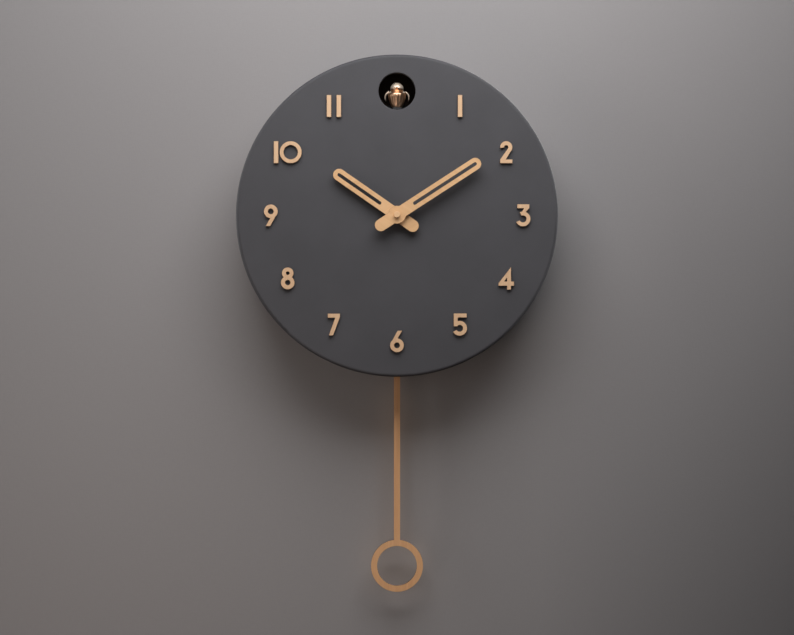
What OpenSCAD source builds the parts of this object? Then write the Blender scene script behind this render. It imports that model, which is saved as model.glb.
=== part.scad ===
// Pendulum wall clock with a cuckoo that comes out of a round hole in the dial.
// Millimetres. The wall is the plane y = 0, the dial faces -Y, and the drum's axis is the Y axis.

/* [Drum] */
// Outer diameter of the drum
drum_d = 300; // [270:1:360]
// Depth of the drum, from the wall to the dial
drum_depth = 75; // [70:1:95]
// Thickness of the round dial board
face_t = 6; // [5:0.5:8]
// Rounding of the dial board's front edge
face_fillet = 3; // [1:0.5:4]
// Thickness of the drum's bent side wall
ring_wall = 6; // [5:0.5:8]
// Thickness of the back board
back_t = 4; // [3:0.5:5]
// Width of the step that the back board sits in
rebate_w = 3; // [2:0.5:4]
// Gap around boards and lids
board_gap = 0.3; // [0.2:0.1:0.6]
// Number of screws that hold the back board
back_screw_count = 6; // [4:2:8]
// Radius of the wood screws' shanks
screw_r = 1.5; // [1.2:0.1:1.8]
// Radius of the wood screws' heads
screw_head_r = 3; // [2.6:0.1:3.4]
// Length of the back board's screws under the head
back_screw_l = 14; // [10:1:18]

/* [Hanger] */
// Height of the hanger plate's centre above the drum's axis
hanger_z = 125; // [112:1:128]
// Width of the hanger plate
hanger_w = 44; // [40:1:50]
// Height of the hanger plate
hanger_h = 20; // [18:1:22]
// Thickness of the hanger plate
hanger_t = 1.5; // [1.2:0.1:2]
// Radius of the keyhole's round entry
keyhole_r = 4.5; // [4:0.1:5]
// Half width of the keyhole's narrow slot
keyhole_slot_r = 2.5; // [2:0.1:2.8]
// Rise from the keyhole's entry to the end of its slot
keyhole_rise = 8; // [7:0.5:9]

/* [Dial] */
// Diameter of the bird's round hole
bird_hole_d = 34.5; // [30:0.5:36]
// Height of the bird's hole above the drum's axis
bird_hole_z = 115.6; // [112:0.2:117]
// Radius of the circle that the numerals stand on
numeral_ring_r = 117; // [108:1:122]
// Height of the numerals
numeral_h = 20.4; // [16:0.2:22]
// Thickness of the plywood numerals
numeral_t = 3; // [2:0.5:4]

/* [Hands] */
// Width of the hands
hand_w = 11.3; // [9:0.1:12]
// Width of the slot along each hand
hand_slot_w = 3; // [2:0.1:4]
// Thickness of the plywood hands
hand_t = 3; // [2:0.5:3.5]
// Radius of the hands' round boss
hand_boss_r = 8.2; // [7.4:0.1:9]
// Length of the minute hand from the axis to its tip
minute_l = 91.5; // [80:0.5:100]
// Length of the hour hand from the axis to its tip
hour_l = 70.7; // [60:0.5:76]
// Length of the hands' tails
tail_l = 23.3; // [18:0.1:28]
// Start of the slot, from the axis
slot_start = 18; // [14:0.5:22]
// Gap between the dial's nut and the hour hand, and between the hands
hand_gap = 1.5; // [1:0.1:2]
// Clock angle of the minute hand
minute_angle = 57; // [0:0.5:360]
// Clock angle of the hour hand
hour_angle = 304.75; // [0:0.25:360]
// Radius of the round nut on the minute hand
cap_r = 2.9; // [2.6:0.1:4]
// Height of the round nut on the minute hand
cap_h = 3.5; // [3:0.1:5]

/* [Pendulum] */
// Outer diameter of the pendulum's ring
bob_d = 50; // [40:1:64]
// Width of the pendulum's ring
bob_band = 6; // [4:0.5:8]
// Width of the pendulum's rod
rod_w = 6; // [5:0.5:7]
// Thickness of the plywood pendulum
rod_t = 3; // [2:0.5:3.5]
// Height of the ring's centre, below the drum's axis
bob_drop = 333; // [270:1:360]
// Height of the pendulum's pivot, below the drum's axis
pivot_drop = 48; // [47:1:54]
// Distance from the pivot down to the hook peg
hook_drop = 48; // [44:1:52]
// Swing to each side, in degrees
swing_deg = 6; // [4:0.5:7]
// Radius of the pivot stub
pivot_r = 1.5; // [1.2:0.1:1.8]
// Width of the pendulum's slot in the drum, front to back
slot_depth = 12; // [10:0.5:14]

/* [Cuckoo] */
// Inner width and height of the black bird box
box_in = 42; // [40:1:43]
// Wall of the bird box
box_wall = 2; // [1.6:0.1:2.2]
// Depth of the bird box behind the dial board
box_depth = 49; // [48:1:52]
// Travel of the bird out of its hole
bird_travel = 28; // [20:1:28]
// Radius of the bird's chest
chest_r = 8.5; // [7.5:0.1:9]
// Radius of the bird's head
head_r = 6.25; // [5.5:0.05:6.5]
// Radius of the two guide rods
guide_r = 1.5; // [1.2:0.1:1.8]

/* [Movement] */
// Width of the movement's case
case_w = 56; // [56:1:60]
// Wall of the movement's case
case_wall = 1.5; // [1.3:0.1:1.6]
// Depth of the movement's case
case_depth = 15; // [15:0.5:16]
// Radius of the threaded bush
bush_r = 5; // [4.6:0.1:5.4]
// Radius of the battery cell in the movement
aa_r = 7.25; // [7:0.05:7.25]
// Length of the battery cell in the movement
aa_l = 50.5; // [50:0.5:50.5]

/* [Sound unit] */
// Radius of the loudspeaker
speaker_r = 28.5; // [24:0.5:30]
// Radius of the two cells in the tray
cell_r = 13.1; // [12.5:0.1:13.1]
// Length of the two cells in the tray
cell_l = 50; // [48:0.5:50]

/* [Clearances] */
// Radial clearance of arbors, pins and pivots
run_gap = 0.05; // [0.03:0.01:0.09]
// Radial clearance of fixed fits
fit_gap = 0.02; // [0.01:0.01:0.05]
// Gap between pieces that pass each other
pass_gap = 0.3; // [0.3:0.05:0.5]
// Thickness of glue between wooden pieces
glue_gap = 0.1; // [0.05:0.05:0.2]

/* [Hidden] */
$fn = 96;

// How far a cutting piece runs past a face, how far joined pieces sink into each other,
// and the facets of the drum's large circles
cut = 1;
sink = 0.2;
drum_facets = 180;

// Drum
drum_r = drum_d / 2;
ring_in_r = drum_r - ring_wall;
back_r = ring_in_r + rebate_w - board_gap;
face_back_y = face_t - drum_depth;
back_front_y = -back_t;
block_w = 14;
block_h = 14;
block_depth = 20;
block_r = ring_in_r - block_h / 2;
block_phase = back_screw_count % 4 == 0 ? 180 / back_screw_count : 0;
screw_head_t = hanger_t;

// Hanger
hanger_screw_inset = 5;
hanger_screw_x = hanger_w / 2 - hanger_screw_inset;
hanger_screw_l = 8;
keyhole_entry_z = hanger_z - keyhole_rise / 2;
keyhole_window_side = 3;
plate_ledge = 1;

// Hands and arbors, front to back
nut_t = 3.2;
nut_flat_r = 7;
nut_front_y = -drum_depth - nut_t;
hour_y = nut_front_y - hand_gap - hand_t;
minute_y = hour_y - hand_gap - hand_t;
cap_y = minute_y - cap_h;
cap_roof = 1.2;
hour_tube_r = 3.1;
hour_tube_in_r = 1.9;
minute_arbor_r = hour_tube_in_r - run_gap;
bush_in_r = hour_tube_r + run_gap;
panel_hole_r = bush_r + board_gap;
bush_over = 0.5;
gasket_r = 12;

// Gears of the movement: teeth, module and place of each arbor
tooth_add = 0.8;
tooth_ded = 1.1;
tooth_root = 0.46;
tooth_tip = 0.14;
reduction_at = 150;
hour_teeth = 40;
reduction_pinion_teeth = 10;
hour_module = 0.5;
reduction_reach = (hour_teeth + reduction_pinion_teeth) * hour_module / 2;
cannon_teeth = 12;
reduction_teeth = 36;
cannon_module = 2 * reduction_reach / (cannon_teeth + reduction_teeth);
pinion_teeth = 8;
third_at = -10;
third_reach = 9;
minute_teeth = 64;
minute_module = 2 * third_reach / (minute_teeth + pinion_teeth);
third_teeth = 60;
third_module = 2 * third_reach / (third_teeth + pinion_teeth);
intermediate_at = 70;
intermediate_reach = 8.4;
seconds_teeth = 48;
seconds_module = 2 * intermediate_reach / (seconds_teeth + pinion_teeth);
rotor_at = 0;
rotor_reach = 7.2;
intermediate_teeth = 40;
intermediate_module = 2 * rotor_reach / (intermediate_teeth + pinion_teeth);
reduction_p = polar(reduction_reach, reduction_at);
third_p = polar(third_reach, third_at);
intermediate_p = polar(intermediate_reach, intermediate_at);
rotor_p = intermediate_p + polar(rotor_reach, rotor_at);
arbor_r = 0.9;
post_r = 0.45;
collar_r = post_r + run_gap + 0.2;
pinion_over = 0.1;

// Levels in the movement's case, measured backwards from its front
case_front_y = face_back_y + 1;
case_top = 22;
case_bottom = -34;
case_inner_depth = case_depth - case_wall;
hour_level = 2;
cannon_level = 4;
minute_level = 6;
third_level = 8;
seconds_level = 10;
intermediate_level = 11.9;
wheel_t = 1;
rotor_level = 9.3;
rotor_magnet_t = 2;
rotor_magnet_r = 3;
stator_level = 9.7;
stator_t = 1;
stator_ring_r = 5;
stator_leg_x = 1.5;
stator_leg_w = 2.6;
stator_left_x = -11;
stator_left_w = 3;
stator_left_h = 8.8;
stator_bar_h = 2;
stator_top_gap = 0.2;
winding_r = 1.8;
winding_drop = 2.6;
cell_wall_z = -16.9;
cell_z = cell_wall_z - aa_r - 0.2;
aa_cap_l = 1.2;
aa_cap_r = 2.7;
contact_inset = 2;
circuit_level = 9;
circuit_t = 1;
circuit_w = 10.5;
circuit_z = -13;
circuit_h = 30;
circuit_post_z = [-8, 13];
circuit_post_inset = 3.5;
circuit_post_r = 1.2;
knob_r = 6;
knob_t = 4;
knob_recess = 0.5;
knob_room = 2;
flute_count = 12;
flute_r = 1;
flute_out = 0.5;
stem_bore_over = 0.5;
stem_r = 2;
stem_gap = 1;
arbor_end = 9;
contact_t = 0.4;

// Pendulum drive, between the back board and the rod's plane
rod_y = -26.5;
drive_depth = 16;
drive_w = 40;
drive_top = 10;
drive_h = 62;
drive_wall = 2;
drive_front_y = back_front_y - drive_depth;
hanger_lever_t = 2.9;
hanger_lever_y = drive_front_y - pass_gap - hanger_lever_t;
hanger_lever_w = 8;
magnet_drop = 32;
magnet_r = 5;
magnet_t = 2;
magnet_eye_r = 7.5;
magnet_recess = 0.4;
pin_over = 1.5;
peg_r = 1.4;
coil_r = 8;
coil_in_r = 3;
coil_depth = 8;
slot_clear = 4;
rod_top_over = 4;
slot_half = (drum_r - pivot_drop) * tan(swing_deg) + rod_w / 2 + slot_clear;

// Cuckoo: box, carriage and gears
box_out = box_in + 2 * box_wall;
box_back_y = face_back_y + box_depth;
flange_w = 8;
flange_h = 24;
flange_t = 2;
flange_screw_x = box_out / 2 + flange_w / 2;
flange_screw_l = face_t - 1.5;
flange_screw_end = 0.5;
bird_back = 5;
bird_arm_l = 22.5;
bird_axis_y = face_back_y + bird_back;
bird_foot_drop = 14.5;
neck_r = 4.3;
foot_r = 4.75;
head_z = 3;
beak_l = 4;
beak_r = 1.7;
beak_tip_r = 0.3;
beak_z = 3.4;
beak_sink = 0.6;
hump_half_w = 5.8;
hump_front = 4;
hump_bottom = -6;
hump_top = 2.6;
carriage_t = 8;
carriage_y = bird_axis_y + chest_r + bird_arm_l;
carriage_w = 38;
carriage_bottom = -18;
carriage_top = -8;
arm_w = 8;
arm_t = 1.5;
guide_x = 17;
guide_drop = 15;
rack_w = 6;
rack_module = 0.8;
rack_pitch = PI * rack_module;
rack_teeth = ceil(bird_travel / rack_pitch);
rack_bar_t = 1.4;
rack_pitch_drop = 19.2;
rack_len = bird_travel + 4.6;
rack_lead = 1.2;
drive_pinion_teeth = 12;
drive_pinion_r = drive_pinion_teeth * rack_module / 2;
drive_gear_teeth = 20;
motor_pinion_teeth = 9;
drive_module = 0.5;
drive_gear_r = drive_gear_teeth * drive_module / 2;
motor_reach = (drive_gear_teeth + motor_pinion_teeth) * drive_module / 2;
gear_face = 3;
gear_side_gap = 0.4;
gear_room = 1;
drive_axle_r = 1;
rack_side_gap = 0.5;
rack_slot_front = 6;
rack_slot_h = 4.2;
rack_y = carriage_y + carriage_t;
drive_y = rack_y - 14;
drive_z = bird_hole_z - rack_pitch_drop - drive_pinion_r;
motor_z = drive_z - motor_reach;
motor_r = 6;
motor_l = 20;
motor_shaft_r = 0.75;
shaft_end = 2;
ear_t = 2;
ear_half = 3;
ear_x = rack_w / 2 + gear_face + 1;
shoulder_x = 5;
shoulder_z = 0.5;
wing_t = 1;
wing_r = 5.9;
wing_l = 13;
wing_hub_r = 2.6;
wing_hub_t = 1.4;
wing_pin_r = 0.8;
wing_pin_over = 0.4;
wing_x = 0.6;
wing_drop = 5.1;
wing_from = -18;
wing_to = 74;
wing_y = bird_axis_y + chest_r + pass_gap + wing_pin_over;

// Sound unit on the back board
speaker_x = -72;
speaker_z = -32;
speaker_flange_t = 2;
speaker_magnet_r = 14;
speaker_h = 20;
speaker_lip = 3;
basket_h = 12;
basket_top_r = 15;
grille_hole_r = 2;
grille_pitch = 7;
grille_rings = 3;
board_x = -98;
board_z = 22;
board_w = 56;
board_h = 42;
board_t = 1.6;
board_stand = 10;
standoff_inset = 3;
standoff_r = 2.5;
switch_half_w = 9;
switch_half_h = 4;
switch_face_gap = 3;
switch_floor = 1;
slider_w = 5;
slider_h = 3;
slider_gap = 0.8;
slider_recess = 0.6;
switch_x = -70;
switch_z = 43;
switch_travel = 4;
switch_slot_w = 14;
switch_slot_h = 5;
tray_x = 76;
tray_z = 0;
tray_wall = 2;
cell_apart = 1.6;
cell_pitch = 2 * cell_r + cell_apart;
cell_cap_l = 1.8;
cell_cap_r = 3.4;
cell_side_gap = 0.4;
contact_room = 3;
tray_in_w = cell_pitch + 2 * (cell_r + cell_side_gap);
tray_in_h = cell_l + 2 * contact_room;
tray_depth = 2 * cell_r + 4;
door_t = 1.8;
door_seat_gap = 0.1;
tongue_over = 1;
door_lip = 2.5;
tongue_w = 12;
tongue_t = 1.2;
cell_window_w = aa_l + 2 * contact_room;
cell_window_h = 2 * (aa_r + contact_room);
contact_plate = 16;
contact_pad_r = 4;

function polar(r, a) = [r * cos(a), r * sin(a)];
function level_y(level) = case_front_y + level;

// A flat piece cut from a drawing in x and z, from y0 towards the wall
module slab(y0, t) {
    translate([0, y0 + t, 0]) rotate([90, 0, 0]) linear_extrude(t) children();
}

// A round bar along Y between two depths
module bar_y(r, y0, y1) {
    translate([0, y1, 0]) rotate([90, 0, 0]) cylinder(h = y1 - y0, r = r);
}

// A round bar along X between two places
module bar_x(r, x0, x1) {
    translate([x0, 0, 0]) rotate([0, 90, 0]) cylinder(h = x1 - x0, r = r);
}

// A block between two corners
module block(low, high) {
    translate(low) cube(high - low);
}

module at(p) {
    translate([p[0], 0, p[1]]) children();
}

// A strip with round ends, from one end's centre to the other along the drawing's upright axis
module strip(w, from, to) {
    translate([-w / 2, from]) square([w, to - from]);
    translate([0, from]) circle(w / 2);
    translate([0, to]) circle(w / 2);
}

module ring2d(outer, inner) {
    difference() {
        circle(outer);
        circle(inner);
    }
}

// A slice of pie between two angles
module wedge(r, a0, a1) {
    polygon(concat([[0, 0]], [for (i = [0 : 6]) polar(r, a0 + (a1 - a0) * i / 6)]));
}

module arc_band(outer, inner, a0, a1) {
    intersection() {
        ring2d(outer, inner);
        wedge(2 * outer, a0, a1);
    }
}

// Spur gear outline. A tooth, or a gap if gap is true, points at the angle facing.
module gear2d(teeth, pitch_module, facing, gap = false) {
    pitch_r = teeth * pitch_module / 2;
    tip_r = pitch_r + tooth_add * pitch_module;
    root_r = pitch_r - tooth_ded * pitch_module;
    half = 180 / teeth;
    start = facing + (gap ? half : 0);
    polygon([for (i = [0 : teeth - 1])
        for (corner = [[root_r, -tooth_root], [tip_r, -tooth_tip], [tip_r, tooth_tip], [root_r, tooth_root]])
            polar(corner[0], start + 2 * half * i + corner[1] * half)]);
}

// Wood screw with a flat head, its head's top at y1, driven towards the dial
module wood_screw(y1, length) {
    bar_y(screw_head_r, y1 - screw_head_t, y1);
    bar_y(screw_r, y1 - screw_head_t - length, y1 - screw_head_t);
}

// ---------- Drum ----------

module face_panel() {
    color("#4a4a4c") difference() {
        rotate([90, 0, 0]) rotate_extrude($fn = drum_facets) {
            translate([0, -face_back_y]) square([drum_r, face_t - face_fillet]);
            translate([0, -face_back_y]) square([drum_r - face_fillet, face_t]);
            translate([drum_r - face_fillet, drum_depth - face_fillet]) circle(face_fillet);
        }
        translate([0, 0, bird_hole_z]) bar_y(bird_hole_d / 2, -drum_depth - cut, face_back_y + cut);
        bar_y(panel_hole_r, -drum_depth - cut, face_back_y + cut);
        for (side = [-1, 1])
            translate([side * flange_screw_x, 0, bird_hole_z])
                bar_y(screw_r + fit_gap, face_back_y - flange_screw_l, face_back_y + cut);
    }
}

module case_ring() {
    color("#464648") difference() {
        bar_y(drum_r, face_back_y, 0, $fn = drum_facets);
        bar_y(ring_in_r, face_back_y - cut, cut, $fn = drum_facets);
        bar_y(ring_in_r + rebate_w, back_front_y, cut, $fn = drum_facets);
        block([-slot_half, rod_y + rod_t / 2 - slot_depth / 2, -drum_r - cut],
              [slot_half, rod_y + rod_t / 2 + slot_depth / 2, -ring_in_r / 2]);
    }
}

module around_back() {
    for (i = [0 : back_screw_count - 1])
        rotate([0, block_phase + 360 / back_screw_count * i, 0]) translate([block_r, 0, 0]) children();
}

// Glue blocks on the side wall that take the back board's screws
module screw_blocks() {
    color("burlywood") intersection() {
        bar_y(ring_in_r - glue_gap, face_back_y, 0, $fn = drum_facets);
        around_back() difference() {
            block([-block_h / 2, back_front_y - block_depth, -block_w / 2],
                  [block_h, back_front_y, block_w / 2]);
            bar_y(screw_r + fit_gap, back_front_y - back_screw_l, cut);
        }
    }
}

module back_panel() {
    color("#6b5844") difference() {
        bar_y(back_r, back_front_y, 0, $fn = drum_facets);
        around_back() {
            bar_y(screw_r + board_gap, back_front_y - cut, cut);
            bar_y(screw_head_r + board_gap, -screw_head_t, cut);
        }
        block([-hanger_w / 2 - board_gap, -hanger_t, hanger_z - hanger_h / 2 - board_gap],
              [hanger_w / 2 + board_gap, cut, hanger_z + hanger_h / 2 + board_gap]);
        block([-keyhole_r - keyhole_window_side, back_front_y - cut, hanger_z - hanger_h / 2 + plate_ledge],
              [keyhole_r + keyhole_window_side, cut, hanger_z + hanger_h / 2 - plate_ledge]);
        for (x = [-hanger_screw_x, hanger_screw_x])
            translate([x, 0, hanger_z]) bar_y(screw_r + fit_gap, back_front_y - cut, cut);
        at(reduction_p) bar_y(knob_r + knob_room, back_front_y - cut, cut);
        translate([tray_x, 0, tray_z]) lid_window(tray_in_w, tray_in_h);
        translate([0, 0, cell_z]) lid_window(cell_window_w, cell_window_h);
        translate([speaker_x, 0, speaker_z]) grille_holes();
        block([switch_x - switch_slot_w / 2, back_front_y - cut, switch_z - switch_slot_h / 2],
              [switch_x + switch_slot_w / 2, cut, switch_z + switch_slot_h / 2]);
    }
}

// A window in the back board with a step around it for a flush lid
module lid_window(w, h) {
    block([-w / 2, back_front_y - cut, -h / 2], [w / 2, cut, h / 2]);
    block([-w / 2 - door_lip - board_gap, -door_t, -h / 2 - door_lip - board_gap],
          [w / 2 + door_lip + board_gap, cut, h / 2 + door_lip + board_gap]);
}

// A lid that pulls straight off, with two tongues that grip the window's edges
module lid(w, h) {
    lip_w = w / 2 + door_lip;
    lip_h = h / 2 + door_lip;
    block([-lip_w, -door_t + door_seat_gap, -lip_h], [lip_w, 0, lip_h]);
    for (side = [-1, 1])
        translate([0, 0, side * (h / 2 - pass_gap - tongue_t / 2)])
            block([-tongue_w / 2, back_front_y - tongue_over, -tongue_t / 2],
                  [tongue_w / 2, -door_t + door_seat_gap + sink, tongue_t / 2]);
}

// Rings of small holes for the sound
module grille_holes() {
    for (ring = [0 : grille_rings])
        for (i = [0 : max(0, 6 * ring - 1)])
            at(polar(ring * grille_pitch, 60 / max(1, ring) * i))
                bar_y(grille_hole_r, back_front_y - cut, cut);
}

// Screws of the back board and of the hanger plate
module wood_screws() {
    color("silver") {
        around_back() wood_screw(0, back_screw_l - screw_head_t);
        for (x = [-hanger_screw_x, hanger_screw_x])
            translate([x, 0, hanger_z]) wood_screw(0, hanger_screw_l);
    }
}

module hanger_plate() {
    color("gainsboro") difference() {
        block([-hanger_w / 2, -hanger_t, hanger_z - hanger_h / 2],
              [hanger_w / 2, 0, hanger_z + hanger_h / 2]);
        translate([0, 0, keyhole_entry_z]) bar_y(keyhole_r, -hanger_t - cut, cut);
        block([-keyhole_slot_r, -hanger_t - cut, keyhole_entry_z],
              [keyhole_slot_r, cut, keyhole_entry_z + keyhole_rise]);
        translate([0, 0, keyhole_entry_z + keyhole_rise]) bar_y(keyhole_slot_r, -hanger_t - cut, cut);
        for (x = [-hanger_screw_x, hanger_screw_x])
            translate([x, 0, hanger_z]) bar_y(screw_head_r + fit_gap, -hanger_t - cut, cut);
    }
}

// ---------- Numerals ----------

// Drawn 20.4 high, each about the middle of its own outline
glyph_em = 20.4;
bar_w = 4.2;

// A piece of a numeral cut through the sheet, or past both its faces if over is set
module ply(over = 0) {
    slab(-drum_depth - numeral_t - over, numeral_t + 2 * over) scale(numeral_h / glyph_em) children();
}

module glyph_1() {
    ply() square([bar_w, glyph_em], center = true);
}

module glyph_2() {
    ply() {
        translate([0, 4.55]) arc_band(5.65, 1.9, -38, 188);
        polygon([[-5.65, -6.8], [-0.5, -6.8], [4.6, 1.3], [1.55, 3.4]]);
        translate([-5.65, -10.2]) square([11.3, 3.5]);
    }
}

module glyph_3() {
    ply() polygon([[-5.5, 10.2], [5.7, 10.2], [5.7, 6.6], [0.6, 0.8], [-2.2, 1.6], [0.8, 6.5],
                   [-5.5, 6.5]]);
    ply() translate([-0.2, -3.4]) arc_band(6.9, 3.2, -155, 115);
}

module glyph_4() {
    ply() difference() {
        polygon([[4.45, 10.5], [4.45, -2.9], [7.15, -2.9], [7.15, -6.9], [4.45, -6.9], [4.45, -10.5],
                 [0.75, -10.5], [0.75, -6.9], [-7.15, -6.9], [-7.15, -4.4]]);
        polygon([[0.75, -2.9], [-1.95, -2.9], [0.75, 0.6]]);
    }
}

module glyph_5() {
    ply() {
        translate([-5.9, 6.5]) square([12.1, 3.8]);
        translate([-5.9, -1.7]) square([3.75, 9]);
        translate([-0.4, -3.45]) arc_band(6.9, 3.1, -152, 125);
    }
}

module glyph_6() {
    difference() {
        union() {
            ply() translate([0, -3.6]) circle(6.4);
            ply() polygon([[-5.2, -0.4], [0.6, 10], [4.79, 10], [-1.8, -1.4]]);
        }
        ply(1) translate([0, -3.6]) circle(2.6);
    }
}

module glyph_7() {
    ply() polygon([[-5.65, 10.1], [5.65, 10.1], [5.65, 6.9], [-0.75, -10.1], [-4.75, -10.1], [1.2, 6.3],
                   [-5.65, 6.3]]);
}

module glyph_8() {
    ply() difference() {
        union() {
            translate([0, 4.8]) circle(5.4);
            translate([0, -3.9]) circle(6.3);
        }
        translate([0, 4.8]) circle(1.6);
        translate([0, -3.9]) circle(2.4);
    }
}

module glyph_10() {
    ply() {
        translate([-10.8, 0]) square([bar_w, glyph_em], center = true);
        translate([2.75, 0]) ring2d(10.2, 6.6);
    }
}

module glyph_11() {
    for (side = [-1, 1]) ply() translate([side * 4.55, 0]) square([bar_w, glyph_em], center = true);
}

// One numeral, upright, at its hour on the dial
module numeral(hour) {
    color("#d8b088") at(polar(numeral_ring_r, 90 - 30 * hour)) {
        if (hour == 1) glyph_1();
        if (hour == 2) glyph_2();
        if (hour == 3) glyph_3();
        if (hour == 4) glyph_4();
        if (hour == 5) glyph_5();
        if (hour == 6) glyph_6();
        if (hour == 7) glyph_7();
        if (hour == 8) glyph_8();
        if (hour == 9) rotate([0, 180, 0]) glyph_6();
        if (hour == 10) glyph_10();
        if (hour == 11) glyph_11();
    }
}

// ---------- Hands ----------

// Slotted hand with round ends and a round boss, pointing up
module hand2d(length, hole_r) {
    difference() {
        union() {
            strip(hand_w, hand_w / 2 - tail_l, length - hand_w / 2);
            circle(hand_boss_r);
        }
        strip(hand_slot_w, slot_start + hand_slot_w / 2, length - hand_w / 2);
        circle(hole_r);
    }
}

module hour_hand() {
    color("#d8b188") slab(hour_y, hand_t) rotate(-hour_angle) hand2d(hour_l, hour_tube_r + fit_gap);
}

module minute_hand() {
    color("#d8b188") slab(minute_y, hand_t) rotate(-minute_angle) hand2d(minute_l, minute_arbor_r + fit_gap);
}

module hand_cap() {
    color("#d8b188") difference() {
        bar_y(cap_r, cap_y, minute_y);
        bar_y(minute_arbor_r + fit_gap, cap_y + cap_roof, minute_y + cut);
    }
}

// ---------- Movement ----------

module movement_case() {
    color("#202022") {
        difference() {
            union() {
                block([-case_w / 2, case_front_y, case_bottom],
                      [case_w / 2, level_y(case_inner_depth), case_top]);
                bar_y(bush_r, nut_front_y - bush_over, case_front_y + sink);
            }
            block([-case_w / 2 + case_wall, level_y(case_wall), cell_wall_z + case_wall],
                  [case_w / 2 - case_wall, level_y(case_depth), case_top - case_wall]);
            block([-case_w / 2 + case_wall, level_y(case_wall), case_bottom + case_wall / 2],
                  [case_w / 2 - case_wall, level_y(case_depth), cell_wall_z]);
            bar_y(bush_in_r, nut_front_y - bush_over - cut, level_y(case_depth));
        }
        for (z = circuit_post_z)
            translate([circuit_post_inset - case_w / 2, 0, z])
                bar_y(circuit_post_r, level_y(case_wall - sink), level_y(circuit_level));
    }
}

// Back lid of the case, with the posts that the wheels turn on
module movement_cover() {
    color("#2b2b2e") {
        difference() {
            block([-case_w / 2, level_y(case_inner_depth), cell_wall_z],
                  [case_w / 2, level_y(case_depth), case_top]);
            at(reduction_p)
                bar_y(arbor_r + run_gap, level_y(case_inner_depth) - cut, level_y(case_depth) + cut);
        }
        for (post = [[[0, 0], minute_level + wheel_t + pass_gap], [third_p, minute_level - pinion_over],
                     [intermediate_p, seconds_level - pinion_over], [rotor_p, rotor_level]])
            at(post[0]) bar_y(post_r, level_y(post[1]), level_y(case_inner_depth + sink));
    }
}

module movement_gasket() {
    color("#303030") slab(face_back_y, case_front_y - face_back_y) ring2d(gasket_r, bush_r + board_gap);
}

// Hexagonal nut on the bush, in front of the dial board
module fixing_nut() {
    color("goldenrod") slab(nut_front_y, nut_t) difference() {
        circle(nut_flat_r, $fn = 6);
        circle(bush_r + fit_gap);
    }
}

module hour_wheel() {
    color("ivory") difference() {
        union() {
            slab(level_y(hour_level), wheel_t) gear2d(hour_teeth, hour_module, reduction_at, true);
            bar_y(hour_tube_r, hour_y - sink, level_y(hour_level) + sink);
        }
        bar_y(hour_tube_in_r, hour_y - cut, level_y(case_depth));
    }
}

// Minute wheel and the cannon pinion on the long arbor that carries the minute hand
module minute_arbor() {
    color("ivory") {
        slab(level_y(minute_level), wheel_t) gear2d(minute_teeth, minute_module, third_at);
        slab(level_y(cannon_level - pinion_over), wheel_t + 2 * pinion_over)
            gear2d(cannon_teeth, cannon_module, reduction_at);
        bar_y(minute_arbor_r, cap_y + cap_roof + pass_gap, level_y(minute_level) + sink);
    }
}

// Reduction wheel and pinion on the arbor that reaches the setting knob
module reduction_arbor() {
    color("ivory") at(reduction_p) {
        slab(level_y(cannon_level), wheel_t)
            gear2d(reduction_teeth, cannon_module, reduction_at + 180, true);
        slab(level_y(hour_level - pinion_over), wheel_t + 2 * pinion_over)
            gear2d(reduction_pinion_teeth, hour_module, reduction_at + 180);
        bar_y(arbor_r, level_y(case_wall + pass_gap), level_y(case_depth) + arbor_end);
    }
}

// Knurled knob in the back board's hole, on a long stem that sleeves the arbor's end
module setting_knob() {
    color("#e8e4d8") at(reduction_p) difference() {
        union() {
            slab(-knob_t - knob_recess, knob_t) difference() {
                circle(knob_r);
                for (i = [0 : flute_count - 1])
                    translate(polar(knob_r + flute_out, 360 / flute_count * i)) circle(flute_r);
            }
            bar_y(stem_r, level_y(case_depth) + stem_gap, -knob_t);
        }
        bar_y(arbor_r + fit_gap, level_y(case_depth), level_y(case_depth) + arbor_end + stem_bore_over);
    }
}

// A wheel and its eight-tooth pinion, bored for a post
module wheel_and_pinion(wheel_level, wheel_teeth, wheel_module, wheel_facing, wheel_gap,
                        pinion_level, pinion_module, pinion_facing, pinion_gap) {
    difference() {
        union() {
            slab(level_y(wheel_level), wheel_t) gear2d(wheel_teeth, wheel_module, wheel_facing, wheel_gap);
            slab(level_y(pinion_level - pinion_over), wheel_t + 2 * pinion_over)
                gear2d(pinion_teeth, pinion_module, pinion_facing, pinion_gap);
            bar_y(collar_r, level_y(min(wheel_level, pinion_level)), level_y(max(wheel_level, pinion_level)));
        }
        bar_y(post_r + run_gap, level_y(0), level_y(case_depth));
    }
}

module third_wheel() {
    color("ivory") at(third_p)
        wheel_and_pinion(third_level, third_teeth, third_module, third_at + 180, false,
                         minute_level, minute_module, third_at + 180, true);
}

module seconds_wheel() {
    color("ivory")
        wheel_and_pinion(seconds_level, seconds_teeth, seconds_module, intermediate_at, false,
                         third_level, third_module, third_at, true);
}

module intermediate_wheel() {
    color("ivory") at(intermediate_p)
        wheel_and_pinion(intermediate_level, intermediate_teeth, intermediate_module, rotor_at, false,
                         seconds_level, seconds_module, intermediate_at + 180, true);
}

module rotor() {
    color("dimgray") at(rotor_p) difference() {
        union() {
            slab(level_y(intermediate_level), wheel_t)
                gear2d(pinion_teeth, intermediate_module, rotor_at + 180, true);
            bar_y(rotor_magnet_r, level_y(rotor_level), level_y(rotor_level + rotor_magnet_t));
            bar_y(collar_r, level_y(rotor_level), level_y(intermediate_level));
        }
        bar_y(post_r + run_gap, level_y(0), level_y(case_depth));
    }
}

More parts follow.
